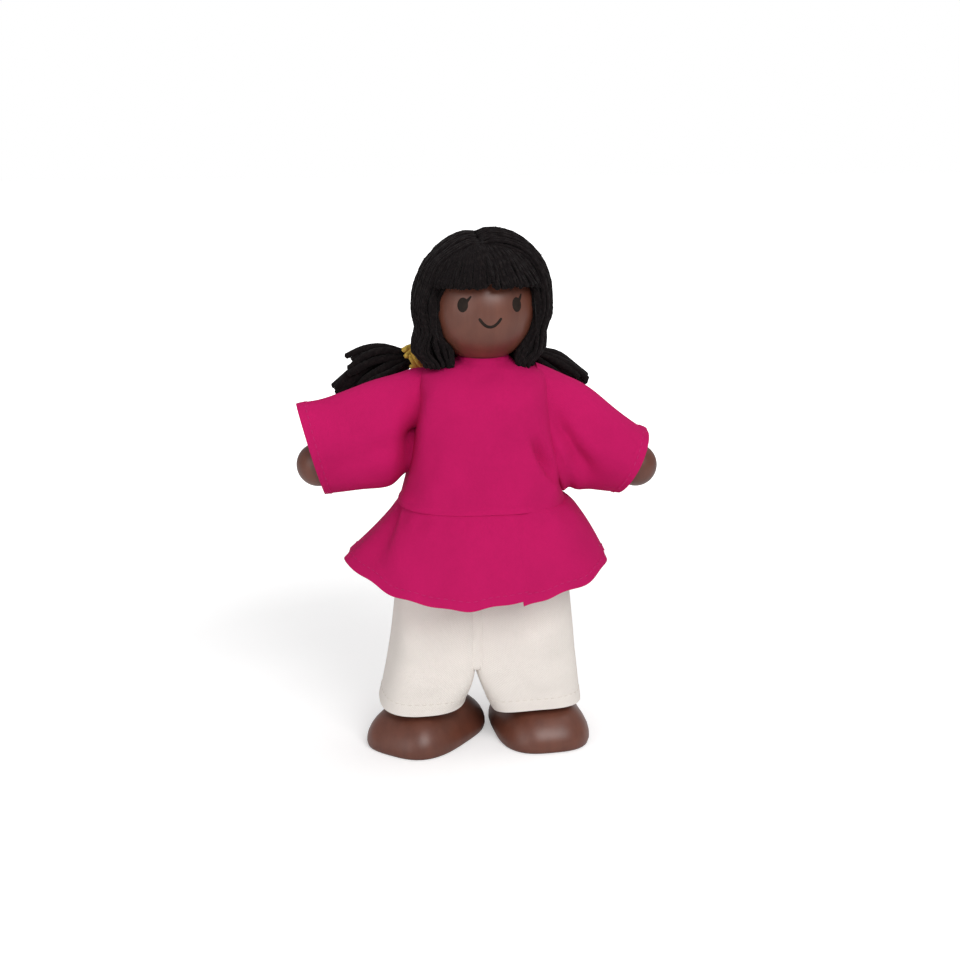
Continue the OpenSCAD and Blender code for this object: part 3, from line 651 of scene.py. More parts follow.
def peplum_shape(side, look):
    """Half the peplum; the left half lies over the right one at the front pleat, and under it at the back."""
    pleat = look.pleat / MM

    def shape(u, v):
        t = 1 - v
        if side == "right":
            angle = lerp(-math.pi - 0.1, PLEAT_AT + 0.2, u)
            out = -0.5 * ease((angle - PLEAT_AT - 0.04) / 0.06) + 0.35 * ease((-angle - math.pi + 0.12) / 0.2)
        else:
            angle = lerp(PLEAT_AT, math.pi + 0.02, u)
            out = (pleat * t**7 - 0.02) * np.exp(-(angle - PLEAT_AT) / 0.22)
        points = peplum_point(angle, t, look, out)
        if side == "left":
            points[:, 2] -= 0.75 * np.exp(-(angle - PLEAT_AT) / 0.25) * t**4
        return points

    return shape


# Place of the seam between the legs, towards +X
LEG_SPLIT = -2.2
# Trouser leg: outer and inner side of the hem, and the share of its height below which the legs part
LEG = {"right": (21.2, 3.6, 0.3), "left": (20.2, 1.6, 0.3)}
# Folds of a trouser leg: turn from the front, height, lean, half-turn, half-height and depth
LEG_FOLDS = (
    (20, 0.72, 110, 26, 0.1, -0.5), (-12, 0.56, -90, 24, 0.1, 0.35), (40, 0.36, 60, 24, 0.09, -0.35),
    (-35, 0.82, -60, 24, 0.1, -0.45), (8, 0.22, 70, 30, 0.08, 0.25), (150, 0.5, 80, 30, 0.1, -0.4),
    (-150, 0.34, -60, 30, 0.1, 0.3),
)
# Depth of a trouser leg, front to back, at its hem and its top
HEM_DEPTH, TOP_DEPTH = 19.2, 21


def leg_shape(side, begin, end):
    """A trouser leg between two heights; its inner side is flat where it meets the other leg."""
    s = SIDES[side]
    hem_out, hem_in, part = LEG[side]
    meet = s * LEG_SPLIT + 0.06

    def shape(u, v):
        z = lerp(begin, end, v)
        t = (z - HEM_Z[side]) / (LEG_TOP_Z - HEM_Z[side])
        angle = (u - 0.5) * 2 * np.pi
        outer = lerp(hem_out, 17.1, t) - (0.7 if s < 0 else 0.2) * np.sin(np.pi * np.clip(t, 0, 1))
        inner = lerp(meet, hem_in, np.clip(1 - t / part, 0, 1) ** 1.3)
        turn = np.degrees(angle) * s
        folds = 0.2 * np.sin(np.pi * np.clip(t, 0, 1)) * np.sin(6 * angle + 0.9 * s)
        for at, where, lean, width, high, depth in LEG_FOLDS:
            folds += depth * hump(turn, at + lean * (t - where), width) * hump(t, where, high)
        folds += 0.1 * ease((0.085 - t) / 0.015)
        inward = ease((-np.sin(angle) * s + 0.1) / 0.5)
        folds *= 1 - inward * ease(t / 0.3)
        n = lerp(lerp(2.7, 2.4, t) + (1.8 * inward if s > 0 else 0), 11.0, inward * ease(t / 0.4))
        x, y = squarish(angle, (outer - inner) / 2, lerp(HEM_DEPTH, TOP_DEPTH, t) / 2, n, folds)
        edge = 1 - ease(t / 0.25)
        inside = 1.2 * hump(turn, -90, 34) if s < 0 else -0.7 * hump(turn, -70, 26)
        lift = edge * (0.3 * np.sin(2 * angle + s) + inside)
        return np.stack((s * (outer + inner) / 2 + x, y, z + lift), axis=1)

    return shape


def seat_shape(u, v):
    angle = (u - 0.5) * 2 * np.pi
    half_w = lerp(18.4, 12.0, v**1.4)
    half_d = lerp(12.1, 11.8, v**1.4)
    folds = 0.3 * v * np.sin(26 * angle) - 0.2 * hump(v, 0.86, 0.08)
    x, y = squarish(angle, half_w, half_d, lerp(3.3, 2.1, v), folds)
    return np.stack((x, y, lerp(SEAT_LOW, SEAT_TOP, v)), axis=1)


# Hair forms, in millimetres

FIBRE_HALF = 0.045
# Pigtail of each side: length, half thickness and direction
TAIL = {-1: (17.0, 4.1, (-0.86, 0.16, -0.3)), 1: (14.0, 3.4, (0.72, 0.22, -0.58))}
# Ropes of a pigtail: tip from the tie, turn round the middle, spread of the turn and count
TAIL_ROPES = {
    -1: (
        ((-15.7, 2.3, -8.1), 30, 150, 8), ((-11.4, 2.4, -6.0), 250, 130, 8), ((-12.4, 2.4, -3.8), 110, 90, 3),
        ((-12.4, 2.0, -1.7), 80, 40, 2), ((-10.0, 1.6, -0.7), 95, 30, 1),
    ),
    1: (((9.9, 3.0, -6.8), 90, 150, 9), ((9.6, 3.2, -9.0), 270, 150, 8), ((7.6, 2.6, -5.0), 40, 90, 5)),
}
# Middle of a pigtail's bend, from the tie
TAIL_BEND = {-1: (-7.0, 1.2, -0.8), 1: (4.8, 1.4, -3.3)}
# Thickness of a rope from its root to its tip
ROPE_SIZES = np.array((0.5, 0.46, 0.44, 0.62, 0.84, 0.95, 1, 1, 1, 1, 0.98, 0.8))
# Place of the winding, as a share of the way from the root to the tie
TIE_SHARE = {-1: 1.0, 1: 0.4}
# Tie: number of turns, their half width and pitch, and half the yarn's thickness
TIE_TURNS, TIE_R, TIE_PITCH, TIE_HALF = 2.4, 2.1, 0.8, 0.46


def tail_points(s):
    """Root, tie, line and half thickness of a pigtail."""
    root = np.array((s * 8.6, 7.4, HEAD_Z - 9.4))
    tie = np.array((s * 12.4, 9.0, HEAD_Z - 11.2))
    long, full, way = TAIL[s]

    def at(t):
        return tie + long * (t * np.array(way) + t * t * np.array((0, 0, -0.12)))

    return root, tie, at, full


def arc(a, b, t):
    """Directions on the way from a to b round a ball."""
    a, b = unit(np.asarray(a, float)), unit(np.asarray(b, float))
    whole = math.acos(max(-1, min(1, float(a.dot(b)))))
    return (np.sin((1 - t) * whole)[:, None] * a + np.sin(t * whole)[:, None] * b) / math.sin(whole)


def fuzz(bm, path, rng, count):
    """Loose fibres that stand off a strand."""
    for _ in range(count):
        k = rng.randrange(1, len(path) - 1)
        start = lerp(path[k], path[k + 1], rng.random())
        out = unit(start - HAIR_C) + np.array([rng.uniform(-0.9, 0.9) for _ in range(3)])
        along = unit(path[k + 1] - path[k])
        size = rng.uniform(0.5, 1.1)
        fibre = [start + size * (t * along * 0.9 + t * (1 - 0.4 * t) * out * 0.5) for t in (0, 0.4, 0.75, 1)]
        tube(bm, fibre, FIBRE_HALF, 3)


def crown_strands(bm, look, rng):
    """Strands that fall from the parting over the sides and back of the head."""
    thick = look.strand / MM / 2
    steps = np.linspace(0, 1, 15)
    turns = np.linspace(0.02, math.pi / 2, 13)
    fall = np.linspace(0, 1, 13)[1:]
    for s in (-1, 1):
        root = tail_points(s)[0]
        for layer in range(6):
            reach = HAIR_R - thick - 0.55 * layer
            for y in np.arange(-6.4, 10.4, 0.48):
                if layer > 1 and y > 1.6:
                    continue
                y = y + rng.uniform(-0.2, 0.2) + 0.12 * layer
                ring = math.sqrt(max(reach**2 - y**2, 4))
                turn = turns + rng.uniform(-0.02, 0.02)
                turn = turn - s * 0.11 * (1 - turns / turns[-1])
                wave = 0.2 * np.sin(turn * rng.uniform(5, 11) + rng.uniform(0, 6))
                full = ring + (0.5 if s > 0 else -0.25) * np.sin(2 * turn)
                x = s * (full * 0.975 + wave) * np.sin(turn)
                over = np.stack((x, np.full(13, y) + 1.3 * wave, (full + 0.6 * wave) * np.cos(turn)), axis=1) + HAIR_C
                over[:, 2] += 0.5 * np.cos(turn) - 0.8 * np.exp(-turns / 0.1)
                if y < 1.6:
                    low = LOCK_Z + rng.uniform(0.0, 0.7) + 0.1 * max(y + 2, 0)
                    z = lerp(over[-1][2], low, fall)
                    wide = ring * 0.975 - 0.5 * hump(z, 85.6, 1.8) + 0.3 * hump(z, 81.6, 1.6)
                    wide = wide - 1.9 * ease((81.4 - z) / 3)
                    if s > 0:
                        wide = wide - 1.5 * ease((88 - z) / 7)
                    fore = lerp(over[-1][1], -3.4 + 0.7 * (y + 3.4) + (0.9 if s > 0 else 0), fall)
                    fore = fore + 0.16 * np.sin(fall * rng.uniform(8, 13) + y * 3)
                    hug = np.sqrt(np.clip((HEAD_R + 0.5) ** 2 - (z - HEAD_Z) ** 2 - fore * fore, 0, None))
                    inward = ease((layer + rng.uniform(-0.5, 0.5)) / 5.2)
                    wide = np.maximum(lerp(wide, np.maximum(hug, 6.4), inward), hug)
                    wide = wide + 0.16 * np.sin(fall * rng.uniform(8, 14) + rng.uniform(0, 6))
                    path = np.concatenate((over, np.stack((s * wide, fore, z), axis=1)))
                else:
                    a, b = over[-1] - HAIR_C, root - HAIR_C
                    share = np.linspace(0, 1, 8)[1:]
                    way = arc(a, b, share)
                    size = lerp(np.linalg.norm(a), np.linalg.norm(b) - 0.5 * layer, share)[:, None]
                    path = np.concatenate((over, way * size + HAIR_C))
                tube(bm, path, thick * rng.uniform(0.86, 1.1), 6)
                if layer == 0:
                    fuzz(bm, path, rng, 7)
        for layer in (0, 1):
            reach = HAIR_R - thick - 0.55 * layer
            for lean in np.linspace(28, 132, 24):
                lean = math.radians(lean + rng.uniform(-1.5, 1.5))
                a = np.array((s * 0.03, math.sin(lean), math.cos(lean)))
                b = root - HAIR_C + np.array((0, rng.uniform(-0.8, 0.8), rng.uniform(-0.8, 0.8)))
                way = arc(a, b, steps)
                size = reach + (np.linalg.norm(b) - reach) * ease((steps - 0.7) / 0.3) - 0.8 * np.exp(-steps / 0.06)
                size = size + 0.18 * np.sin(steps * rng.uniform(6, 12) + rng.uniform(0, 6))
                path = way * size[:, None] + HAIR_C
                tube(bm, path, thick * rng.uniform(0.86, 1.1), 6)
                if layer == 0:
                    fuzz(bm, path, rng, 6)


def fringe_strands(bm, look, rng):
    """Strands that fall from the crown over the forehead, cut straight."""
    thick = look.strand / MM / 2
    steps = np.linspace(0, 1, 15)
    for layer in (0, 1, 2):
        for turn in np.linspace(-66, 66, 64):
            turn = turn + rng.uniform(-0.9, 0.9)
            part = hump(turn, 1.5, 1.9)
            turn = math.radians(turn)
            z = FRINGE_Z - 0.2 + rng.uniform(-0.35, 0.3) - HAIR_C[2] - 0.8 * ease((abs(turn) - 0.75) / 0.4) + 2.8 * part
            flat = 12.3 - 0.5 * layer
            b = np.array((flat * math.sin(turn), -flat * math.cos(turn), z))
            a = np.array((1.6 * math.sin(turn) - 0.9, -4.2 + rng.uniform(-0.4, 0.4), 13.0))
            way = arc(a, b, steps)
            reach = HAIR_R - thick - 0.25 - 0.5 * layer
            size = lerp(reach, np.linalg.norm(b), ease((steps - 0.35) / 0.65))
            size = size - 0.5 * np.exp(-steps / 0.08) + 0.14 * np.sin(steps * rng.uniform(5, 12) + rng.uniform(0, 6))
            path = way * size[:, None] + HAIR_C
            path[:, 0] += 0.16 * np.sin(steps * rng.uniform(6, 12) + rng.uniform(0, 6)) * steps
            tube(bm, path, thick * rng.uniform(0.8, 1.05), 6)
            if layer == 0:
                fuzz(bm, path, rng, 5)


def cap_shape(u, v):
    """Felt of yarn under the strands: from the crown down to the nape, and only to the fringe in front."""
    angle = (u - 0.5) * 2 * np.pi
    turn = np.abs(np.degrees(angle))
    front = 1 - ease((turn - 52) / 14)
    low = lerp(-9.4, FRINGE_Z + 1.7 - HAIR_C[2], front)
    reach = HAIR_R - 1.5
    bend = np.minimum(v / 0.86, 1) * np.arccos(np.clip(low / reach, -1, 1))
    flat = reach * np.sin(bend)
    skirt = np.clip((v - 0.86) / 0.14, 0, 1) * (1 - front) * lerp(1.9, 3.0, ease((turn - 100) / 50))
    return np.stack((flat * np.sin(angle), -flat * np.cos(angle), reach * np.cos(bend) - skirt), axis=1) + HAIR_C


class DollOperator:
    """What the operators share."""

    bl_options = {"REGISTER", "UNDO"}


class DOLL_OT_stage(DollOperator, bpy.types.Operator):
    """Sets the floor, the lamps, the sky and the camera"""

    bl_idname = "doll.stage"
    bl_label = "Stage"

    def execute(self, context):
        look = context.scene.doll_stage
        scene = context.scene
        scene.view_settings.view_transform = "Standard"
        camera = bpy.data.cameras.new("camera")
        camera.lens = 58.35
        camera.sensor_width = 36
        camera.shift_x = -2.0 / PICTURE
        camera.shift_y = 12 / PICTURE
        camera.clip_start = 0.01
        holder = bpy.data.objects.new("camera", camera)
        scene.collection.objects.link(holder)
        out, turn = look.camera_out, look.camera_turn
        holder.location = Vector((-out * math.sin(turn), -out * math.cos(turn), look.camera_up))
        aim = Vector((0, 0, look.aim_up)) - holder.location
        holder.rotation_euler = aim.to_track_quat("-Z", "Y").to_euler()
        scene.camera = holder
        for name, place, size, power in (
            ("key lamp", (0.22, -0.63, 0.56), 0.45, look.key),
            ("fill lamp", (-0.55, -0.52, 0.3), 0.6, look.fill),
            ("top lamp", (0.2, 0.16, 0.76), 0.6, look.top),
        ):
            lamp = bpy.data.lights.new(name, "AREA")
            lamp.size = size
            lamp.energy = power
            lit = bpy.data.objects.new(name, lamp)
            lit.location = place
            lit.rotation_euler = (Vector((0, 0, 0.05)) - lit.location).to_track_quat("-Z", "Y").to_euler()
            scene.collection.objects.link(lit)
        world = bpy.data.worlds.new("sky")
        world.use_nodes = True
        scene.world = world
        tree = world.node_tree
        rays = tree.nodes.new("ShaderNodeLightPath")
        seen = sums(tree, "MAXIMUM", rays.outputs["Is Camera Ray"], rays.outputs["Is Transmission Ray"])
        strength = add(tree, "MapRange", {"Value": seen, "To Min": look.sky, "To Max": 1.0})
        back = tree.nodes["Background"]
        back.inputs["Color"].default_value = (1, 1, 1, 1)
        tree.links.new(strength.outputs[0], back.inputs["Strength"])
        bm = bmesh.new()
        bmesh.ops.create_grid(bm, x_segments=2, y_segments=2, size=1.6)
        mesh = bpy.data.meshes.new("floor")
        bm.to_mesh(mesh)
        bm.free()
        floor = bpy.data.objects.new("floor", mesh)
        scene.collection.objects.link(floor)
        made, tree, bsdf, spots = finish("pale floor", 0.9, Specular_IOR_Level=0.0)
        bsdf.inputs["Base Color"].default_value = (0.82, 0.82, 0.82, 1)
        bsdf.inputs["Emission Color"].default_value = (1, 1, 1, 1)
        rays = tree.nodes.new("ShaderNodeLightPath")
        away = add(tree, "VectorMath", {0: spots.outputs["Object"]}, operation="LENGTH")
        far = add(tree, "MapRange", {"Value": away.outputs["Value"], "From Min": 0.09, "From Max": 0.3, "To Min": 0.36})
        glow = sums(tree, "MULTIPLY", rays.outputs["Is Camera Ray"], far.outputs[0])
        tree.links.new(glow, bsdf.inputs["Emission Strength"])
        mesh.materials.append(made)
        return {"FINISHED"}


# Turn of each foot from straight ahead, towards +X
FOOT_TURN = {"right": math.radians(-39), "left": math.radians(5)}
# Foot: length, width, how far its middle is behind the ankle, and its rounding, in millimetres
FOOT_LONG, FOOT_WIDE, FOOT_BEHIND, FOOT_ROUND = 26.6, 19.3, 0.8, 6.9
# Side of a foot from the middle of the sole to the top: share of the rounding and share of the height
FOOT_SIDE = np.array((
    (0, 0), (0.6, 0), (0.9, 0), (0.97, 0.02), (1, 0.1), (0.996, 0.2), (0.955, 0.33), (0.87, 0.47), (0.74, 0.61),
    (0.56, 0.75), (0.34, 0.88), (0.12, 0.965), (-0.1, 1.0), (-0.5, 1.0),
))


class DOLL_OT_wood(DollOperator, bpy.types.Operator):
    """Stains the head, torso, hands and feet, and rounds the feet"""

    bl_idname = "doll.wood"
    bl_label = "Wood"

    def execute(self, context):
        look = context.scene.doll_wood
        stained = wood_finish("stained wood", tuple(look.stain_dark), tuple(look.stain))
        for name in ("head", "torso", "neck_peg", "hand_right", "hand_left"):
            dress(name, stained)
        for side in SIDES:
            self.foot(side, stained)
        return {"FINISHED"}

    def foot(self, side, stained):
        ankle = JOINT["foot_turn_" + side]
        cos, sin = math.cos(FOOT_TURN[side]), math.sin(FOOT_TURN[side])
        high = edge_of("foot_" + side, 1, "z")
        steps = range(len(FOOT_SIDE))

        def shape(u, v):
            k = v * steps[-1]
            inset = FOOT_ROUND * (1 - np.interp(k, steps, FOOT_SIDE[:, 0]))
            z = high * np.interp(k, steps, FOOT_SIDE[:, 1])
            share = np.where(k < 2, k / 2, 1.0)
            x, y = squarish(u * 2 * np.pi, FOOT_WIDE / 2, FOOT_LONG / 2, 3.0)
            fit = np.hypot(x, y)
            keep = np.where(k < 2, (fit - FOOT_ROUND * 0.1) * share / fit, (fit - inset) / fit)
            x, y = x * keep, y * keep + FOOT_BEHIND
            return np.stack((ankle[0] + x * cos - y * sin, ankle[1] + x * sin + y * cos, z), axis=1)

        bm = bmesh.new()
        bent(bm, 72, len(FOOT_SIDE) * 2 - 2, shape, (70, 30))
        made = piece("foot_shoe_" + side, bm, stained)
        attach(made, "foot_" + side)
        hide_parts("foot_" + side)


class DOLL_OT_face(DollOperator, bpy.types.Operator):
    """Paints the eyes, the lashes and the smile"""

    bl_idname = "doll.face"
    bl_label = "Face"

    def execute(self, context):
        look = context.scene.doll_wood
        made, tree, bsdf, spots = finish("face paint", 0.6, Specular_IOR_Level=0.2)
        streak = add(tree, "TexNoise", {"Vector": spots.outputs["Object"], "Scale": 900.0, "Detail": 2.0})
        low, high = (tuple(c * k for c in look.paint) for k in (0.8, 1.3))
        colour_from(tree, bsdf, streak.outputs["Fac"], low, high, 0.3, 0.7)
        bm = bmesh.new()
        turn = math.degrees(look.eye_turn)
        for s in (-1, 1):
            self.spot(bm, s * turn + 2.4, 9.6 - 0.5 * s, look.eye_width / MM / 2, look.eye_height / MM / 2)
            lash = [(s * turn + lon, lat) for lon, lat in ((5.6, 12.6), (8.0, 15.4), (10.6, 18.6))]
            self.stroke(bm, lash, (0.46, 0.34, 0.2))
        smile = [(lon, -12.6 + 8.2 * (abs(lon - 1.8) / 11.0) ** 2.1) for lon in np.linspace(-9.2, 12.8, 15)]
        self.stroke(bm, smile, [0.3] + [0.34] * 13 + [0.3])
        face = piece("face_paint", bm, made)
        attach(face, "head")
        return {"FINISHED"}

    def on_ball(self, lon, lat, lift):
        lon, lat = np.radians(lon), np.radians(lat)
        r = HEAD_R + lift
        flat = r * np.cos(lat)
        return np.stack((flat * np.sin(lon), -flat * np.cos(lon), HEAD_Z + r * np.sin(lat)), axis=1)

    def spot(self, bm, lon, lat, half_w, half_h):
        """An oval of paint."""
        per = math.degrees(1 / HEAD_R)

        def shape(u, v):
            bend = u * 2 * np.pi
            return self.on_ball(
                lon + half_w * v * np.sin(bend) * per / math.cos(math.radians(lat)),
                lat + half_h * v * np.cos(bend) * per,
                0.05 - 0.09 * v**6,
            )

        bent(bm, 40, 8, shape, (1, 1))

    def stroke(self, bm, route, halves):
        """A brush stroke along points of longitude and latitude."""
        route = np.array(route, float)
        per = math.degrees(1 / HEAD_R)
        reach = np.linspace(0, 1, len(route))
        way = np.gradient(route, axis=0)
        way /= np.linalg.norm(way, axis=1)[:, None]

        def shape(u, v):
            t = np.clip((v - 0.06) / 0.88, 0, 1)
            tip = np.where(v < 0.06, (v - 0.06) / 0.06, np.where(v > 0.94, (v - 0.94) / 0.06, 0))
            half = np.interp(t, reach, halves)
            past = tip * half * per
            side = (2 * u - 1) * half * np.sqrt(np.clip(1 - tip**2, 0, 1)) * per
            along, across = (np.interp(t, reach, way[:, k]) for k in (0, 1))
            lon = np.interp(t, reach, route[:, 0]) + past * along - side * across
            lat = np.interp(t, reach, route[:, 1]) + past * across + side * along
            return self.on_ball(lon, lat, 0.05 - 0.09 * np.abs(2 * u - 1) ** 6)

        bent(bm, 8, 40, shape, (1, 1))


class DOLL_OT_hair(DollOperator, bpy.types.Operator):
    """Lays the yarn of the crown, the fringe and the side locks"""

    bl_idname = "doll.hair"
    bl_label = "Hair"

    def execute(self, context):
        look = context.scene.doll_hair
        rng = random.Random(look.seed)
        yarn = yarn_finish("black yarn", tuple(look.yarn), tuple(look.yarn_light))
        cap = cloth("hair_cap", (96, 40), cap_shape, (60, 30), yarn, "black_yarn", 1.2 * MM)
        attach(cap, "head")
        bm = bmesh.new()
        crown_strands(bm, look, rng)
        crown = piece("hair_crown_yarn", bm, yarn)
        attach(crown, "head")
        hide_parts("hair_crown", "hair_lock_right", "hair_lock_left")
        bm = bmesh.new()
        fringe_strands(bm, look, rng)
        fringe = piece("hair_fringe_yarn", bm, yarn)
        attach(fringe, "head")
        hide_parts("hair_fringe")
        for side, s in SIDES.items():
            self.pigtail(side, s, look, rng, yarn)
        return {"FINISHED"}

    def pigtail(self, side, s, look, rng, yarn):
        root, tie, at, full = tail_points(s)
        bm = bmesh.new()
        thick = look.rope / MM / 2
        ahead = unit(at(0.5) - root)
        across = unit(np.cross(ahead, (0, 0, 1)))
        up = np.cross(across, ahead)
        pinch = lerp(root, tie, TIE_SHARE[s])
        control = tie + np.array(TAIL_BEND[s])
        for tip, middle, spread, count in TAIL_ROPES[s]:
            for k in range(count):
                turn = math.radians(middle + spread * ((k + 0.5) / count - 0.5)) + rng.uniform(-0.15, 0.15)
                ring = 0.55 + 0.45 * (k % 2)
                offset = ring * (math.cos(turn) * across + math.sin(turn) * up)
                end = tie + np.array(tip) + np.array([rng.uniform(-by, by) for by in (0.6, 0.6, 0.4)])
                path = [root + offset * 1.5, lerp(root, pinch, 0.55) + offset * 1.3, pinch + offset * 1.15]
                for t in np.linspace(0.14, 1, 9):
                    line = (1 - t) ** 2 * pinch + 2 * t * (1 - t) * control + t * t * end
                    open_by = 1.15 + (full - thick - 1.3) * ease(t / 0.45) * (1 - 0.55 * ease((t - 0.5) / 0.5))
                    sway = np.array((0, 0.3 * math.sin(t * 9 + k), 0.2 * math.sin(t * 8 + 2 * k)))
                    path.append(line + offset * open_by + sway * t)
                tube(bm, path, ROPE_SIZES * thick * rng.uniform(0.88, 1.1), 8)
        tail = piece("pigtail_yarn_" + side, bm, yarn)
        tip = at(1.4)
        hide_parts("pigtail_" + side)
        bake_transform(tail)


class DOLL_OT_ties(DollOperator, bpy.types.Operator):
    """Winds the hair ties"""

    bl_idname = "doll.ties"
    bl_label = "Hair ties"

    def execute(self, context):
        look = context.scene.doll_hair
        rng = random.Random(look.seed + 1)
        # The ties' yarn goes lighter under the same painted fibre highlight
        low, high = (tuple(min(1, c * k) for c in look.tie) for k in (0.72, 1.25))
        yarn = yarn_finish("yellow yarn", low, high, 2.0, 1.1)
        for side, s in SIDES.items():
            root, tie, at, _ = tail_points(s)
            way = unit(at(0.18) - root)
            tie = lerp(root, tie, TIE_SHARE[s])
            out = unit(np.cross(way, (0, 0, 1)))
            up = np.cross(way, out)
            wound = [
                tie + way * TIE_PITCH * (turn / 2 / math.pi - TIE_TURNS / 2)
                + TIE_R * (math.cos(turn) * out + math.sin(turn) * up)
                for turn in np.linspace(0, TIE_TURNS * 2 * math.pi, 61)
            ]
            bm = bmesh.new()
            tube(bm, wound, TIE_HALF, 8)
            knot = tie + way * 0.5 + 2.3 * unit(np.array((0, -0.5, 0.86)))
            for k in range(2):
                lean = np.array((s * (1.0 if k else 0.75), -0.35, 0.16 if k else -0.5))
                path = [knot + lean * t + np.array((0, 0, 0.4 * math.sin(t * 2.2))) for t in np.linspace(-0.6, 2.1, 7)]
                tube(bm, path, 0.52 + 0.04 * rng.random(), 8)
            tied = piece("hair_tie_yarn_" + side, bm, yarn)
            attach(tied, "head")
            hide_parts("hair_tie_" + side)
        return {"FINISHED"}


class DOLL_OT_tunic(DollOperator, bpy.types.Operator):
    """Makes the tunic's bodice, sleeves and peplum with their stitching"""

    bl_idname = "doll.tunic"
    bl_label = "Tunic"

    def execute(self, context):
        look = context.scene.doll_tunic
        cotton = cotton_finish("magenta cotton", tuple(look.cotton), 3.4, 0.0)
        thread = cotton_finish("pink thread", tuple(look.thread), 6.0, 1.0)
        self.bodice(look, cotton, thread)
        for side, s in SIDES.items():
            self.sleeve(side, s, look, cotton, thread)
            self.peplum(side, s, look, cotton, thread)
        return {"FINISHED"}

    def bodice(self, look, cotton, thread):
        bm = bmesh.new()
        bent(bm, 180, 84, bodice_shape(look), (96, 30))
        bmesh.ops.remove_doubles(bm, verts=bm.verts, dist=JOIN)

        def in_armhole(co):
            return abs(co.x) > 8 * MM and math.hypot(co.y / MM / 2.6, (co.z / MM - SHOULDER_Z + 0.8) / 3.4) < 1

        hole = [f for f in bm.faces if in_armhole(f.calc_center_median())]
        bmesh.ops.delete(bm, geom=hole, context="FACES")
        made = piece("bodice_cloth", bm, cotton)
        thicken(made, look.cloth)
        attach(made, "torso")
        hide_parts("tunic_bodice")
        route = bodice_shape(look)(np.full(120, 0.984), np.linspace(0.03, 0.9, 120))
        sewn = stitches("placket_stitches", route, thread)
        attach(sewn, "torso")
        declare_sheet(made, 98, 34)

    def sleeve(self, side, s, look, cotton, thread):
        parts = (("inner", -0.06, SLEEVE_CUT, 34), ("outer", SLEEVE_CUT, 1.0, 70))
        ring = sleeve_shape(side, look, SLEEVE_CUT, SLEEVE_CUT)(np.linspace(0, 1, 60), np.zeros(60))
        middle = ring.mean(axis=0)
        way = np.linalg.svd(ring - middle)[2][2]
        way *= s * np.sign(way[0])
        for part, begin, end, along in parts:
            shape, size = sleeve_shape(side, look, begin, end), (56, SLEEVE_FLAT * (end - begin))
            made = cloth(f"sleeve_{part}_{side}", (128, along), shape, size, cotton, "magenta_cotton", look.cloth)
            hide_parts("sleeve_" + side)
            if part == "inner":
                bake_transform(made)
                declare_sheet(made, 58, SLEEVE_FLAT * (end - begin))
            else:
                route = sleeve_shape(side, look, 0.93, 0.93)(np.linspace(0, 1, 240), np.zeros(240))
                sewn = stitches("cuff_stitches_" + side, route, thread)
                for thing in (made, sewn):
                    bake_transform(thing)
                declare_sheet(made, 56, SLEEVE_FLAT * (end - begin))

    def peplum(self, side, s, look, cotton, thread):
        shape = peplum_shape(side, look)
        made = cloth("peplum_cloth_" + side, (150, 60), shape, (80, 18), cotton, "magenta_cotton", look.cloth)
        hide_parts("tunic_peplum")
        route = shape(np.linspace(0.012, 0.988, 260), np.full(260, 0.1))
        sewn = stitches("peplum_stitches_" + side, route, thread)
        for thing in (made, sewn):
            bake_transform(thing)
        declare_sheet(made, 86, 19)


class DOLL_OT_trousers(DollOperator, bpy.types.Operator):
    """Makes the trousers' seat and legs with their hems"""

    bl_idname = "doll.trousers"
    bl_label = "Trousers"

    def execute(self, context):
        look = context.scene.doll_trousers
        twill = cotton_finish("cream twill", tuple(look.twill), 4.6, 1.0, 0.93, 1.03, 0.5)
        thread = cotton_finish("cream thread", tuple(look.thread), 6.0, 1.0)
        seat = cloth("seat_cloth", (160, 30), seat_shape, (92, 12), twill, "cream_cotton", look.cloth)
        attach(seat, "torso")
        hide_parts("trouser_seat")
        declare_sheet(seat, 100, 13)
        cut = (JOINT["hip_swing_right"][2] + JOINT["knee_bend_right"][2]) / 2
        for side, s in SIDES.items():
            for part, begin, end, along in (("upper", cut, LEG_TOP_Z, 30), ("lower", HEM_Z[side], cut, 80)):
                shape, size = leg_shape(side, begin, end), (62, end - begin)
                made = cloth(f"leg_{part}_{side}", (128, along), shape, size, twill, "cream_cotton", look.cloth)
                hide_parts("trouser_leg_" + side)
                things = [made]
                if s < 0:
                    things.append(self.welt(part, max(begin, HEM_Z[side] + 9.4), min(end, WELT_TOP_Z), twill))
                if part == "upper":
                    for thing in things:
                        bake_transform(thing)
                    declare_sheet(made, 62, end - begin)
                else:
                    row = HEM_Z[side] + 2.4
                    route = leg_shape(side, row, row)(np.linspace(0, 1, 260), np.zeros(260))
                    sewn = stitches("hem_stitches_" + side, route, thread)
                    things.append(sewn)
                    for thing in things:
                        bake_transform(thing)
                    declare_sheet(made, 62, end - begin)
        return {"FINISHED"}

    def welt(self, part, low, high, twill):
        """The seam between the legs, at front and back, from one height to another."""
        bm = bmesh.new()
        for way in (-1, 1):

            def shape(u, v):
                z = lerp(low - 0.5, high + 0.5, v)
                half = lerp(HEM_DEPTH, TOP_DEPTH, (z - HEM_Z["right"]) / (LEG_TOP_Z - HEM_Z["right"])) / 2
                size = np.sqrt(np.clip(np.minimum(v, 1 - v) / 0.06, 0, 1))
                x, y = squarish(u * 2 * np.pi, 1.25, 0.62, 2)
                return np.stack((LEG_SPLIT + x * size, way * (half - 0.86) - y * size, z), axis=1)

            bent(bm, 20, 40, shape, (3, high - low))
        return piece("crotch_seam_" + part, bm, twill)


# Half thickness of the arm cords, the leg cords and the wires, and the length of a forearm, in millimetres
ARM_HALF, LEG_HALF, WIRE_HALF, FOREARM = 2.0, 2.3, 0.65, 12


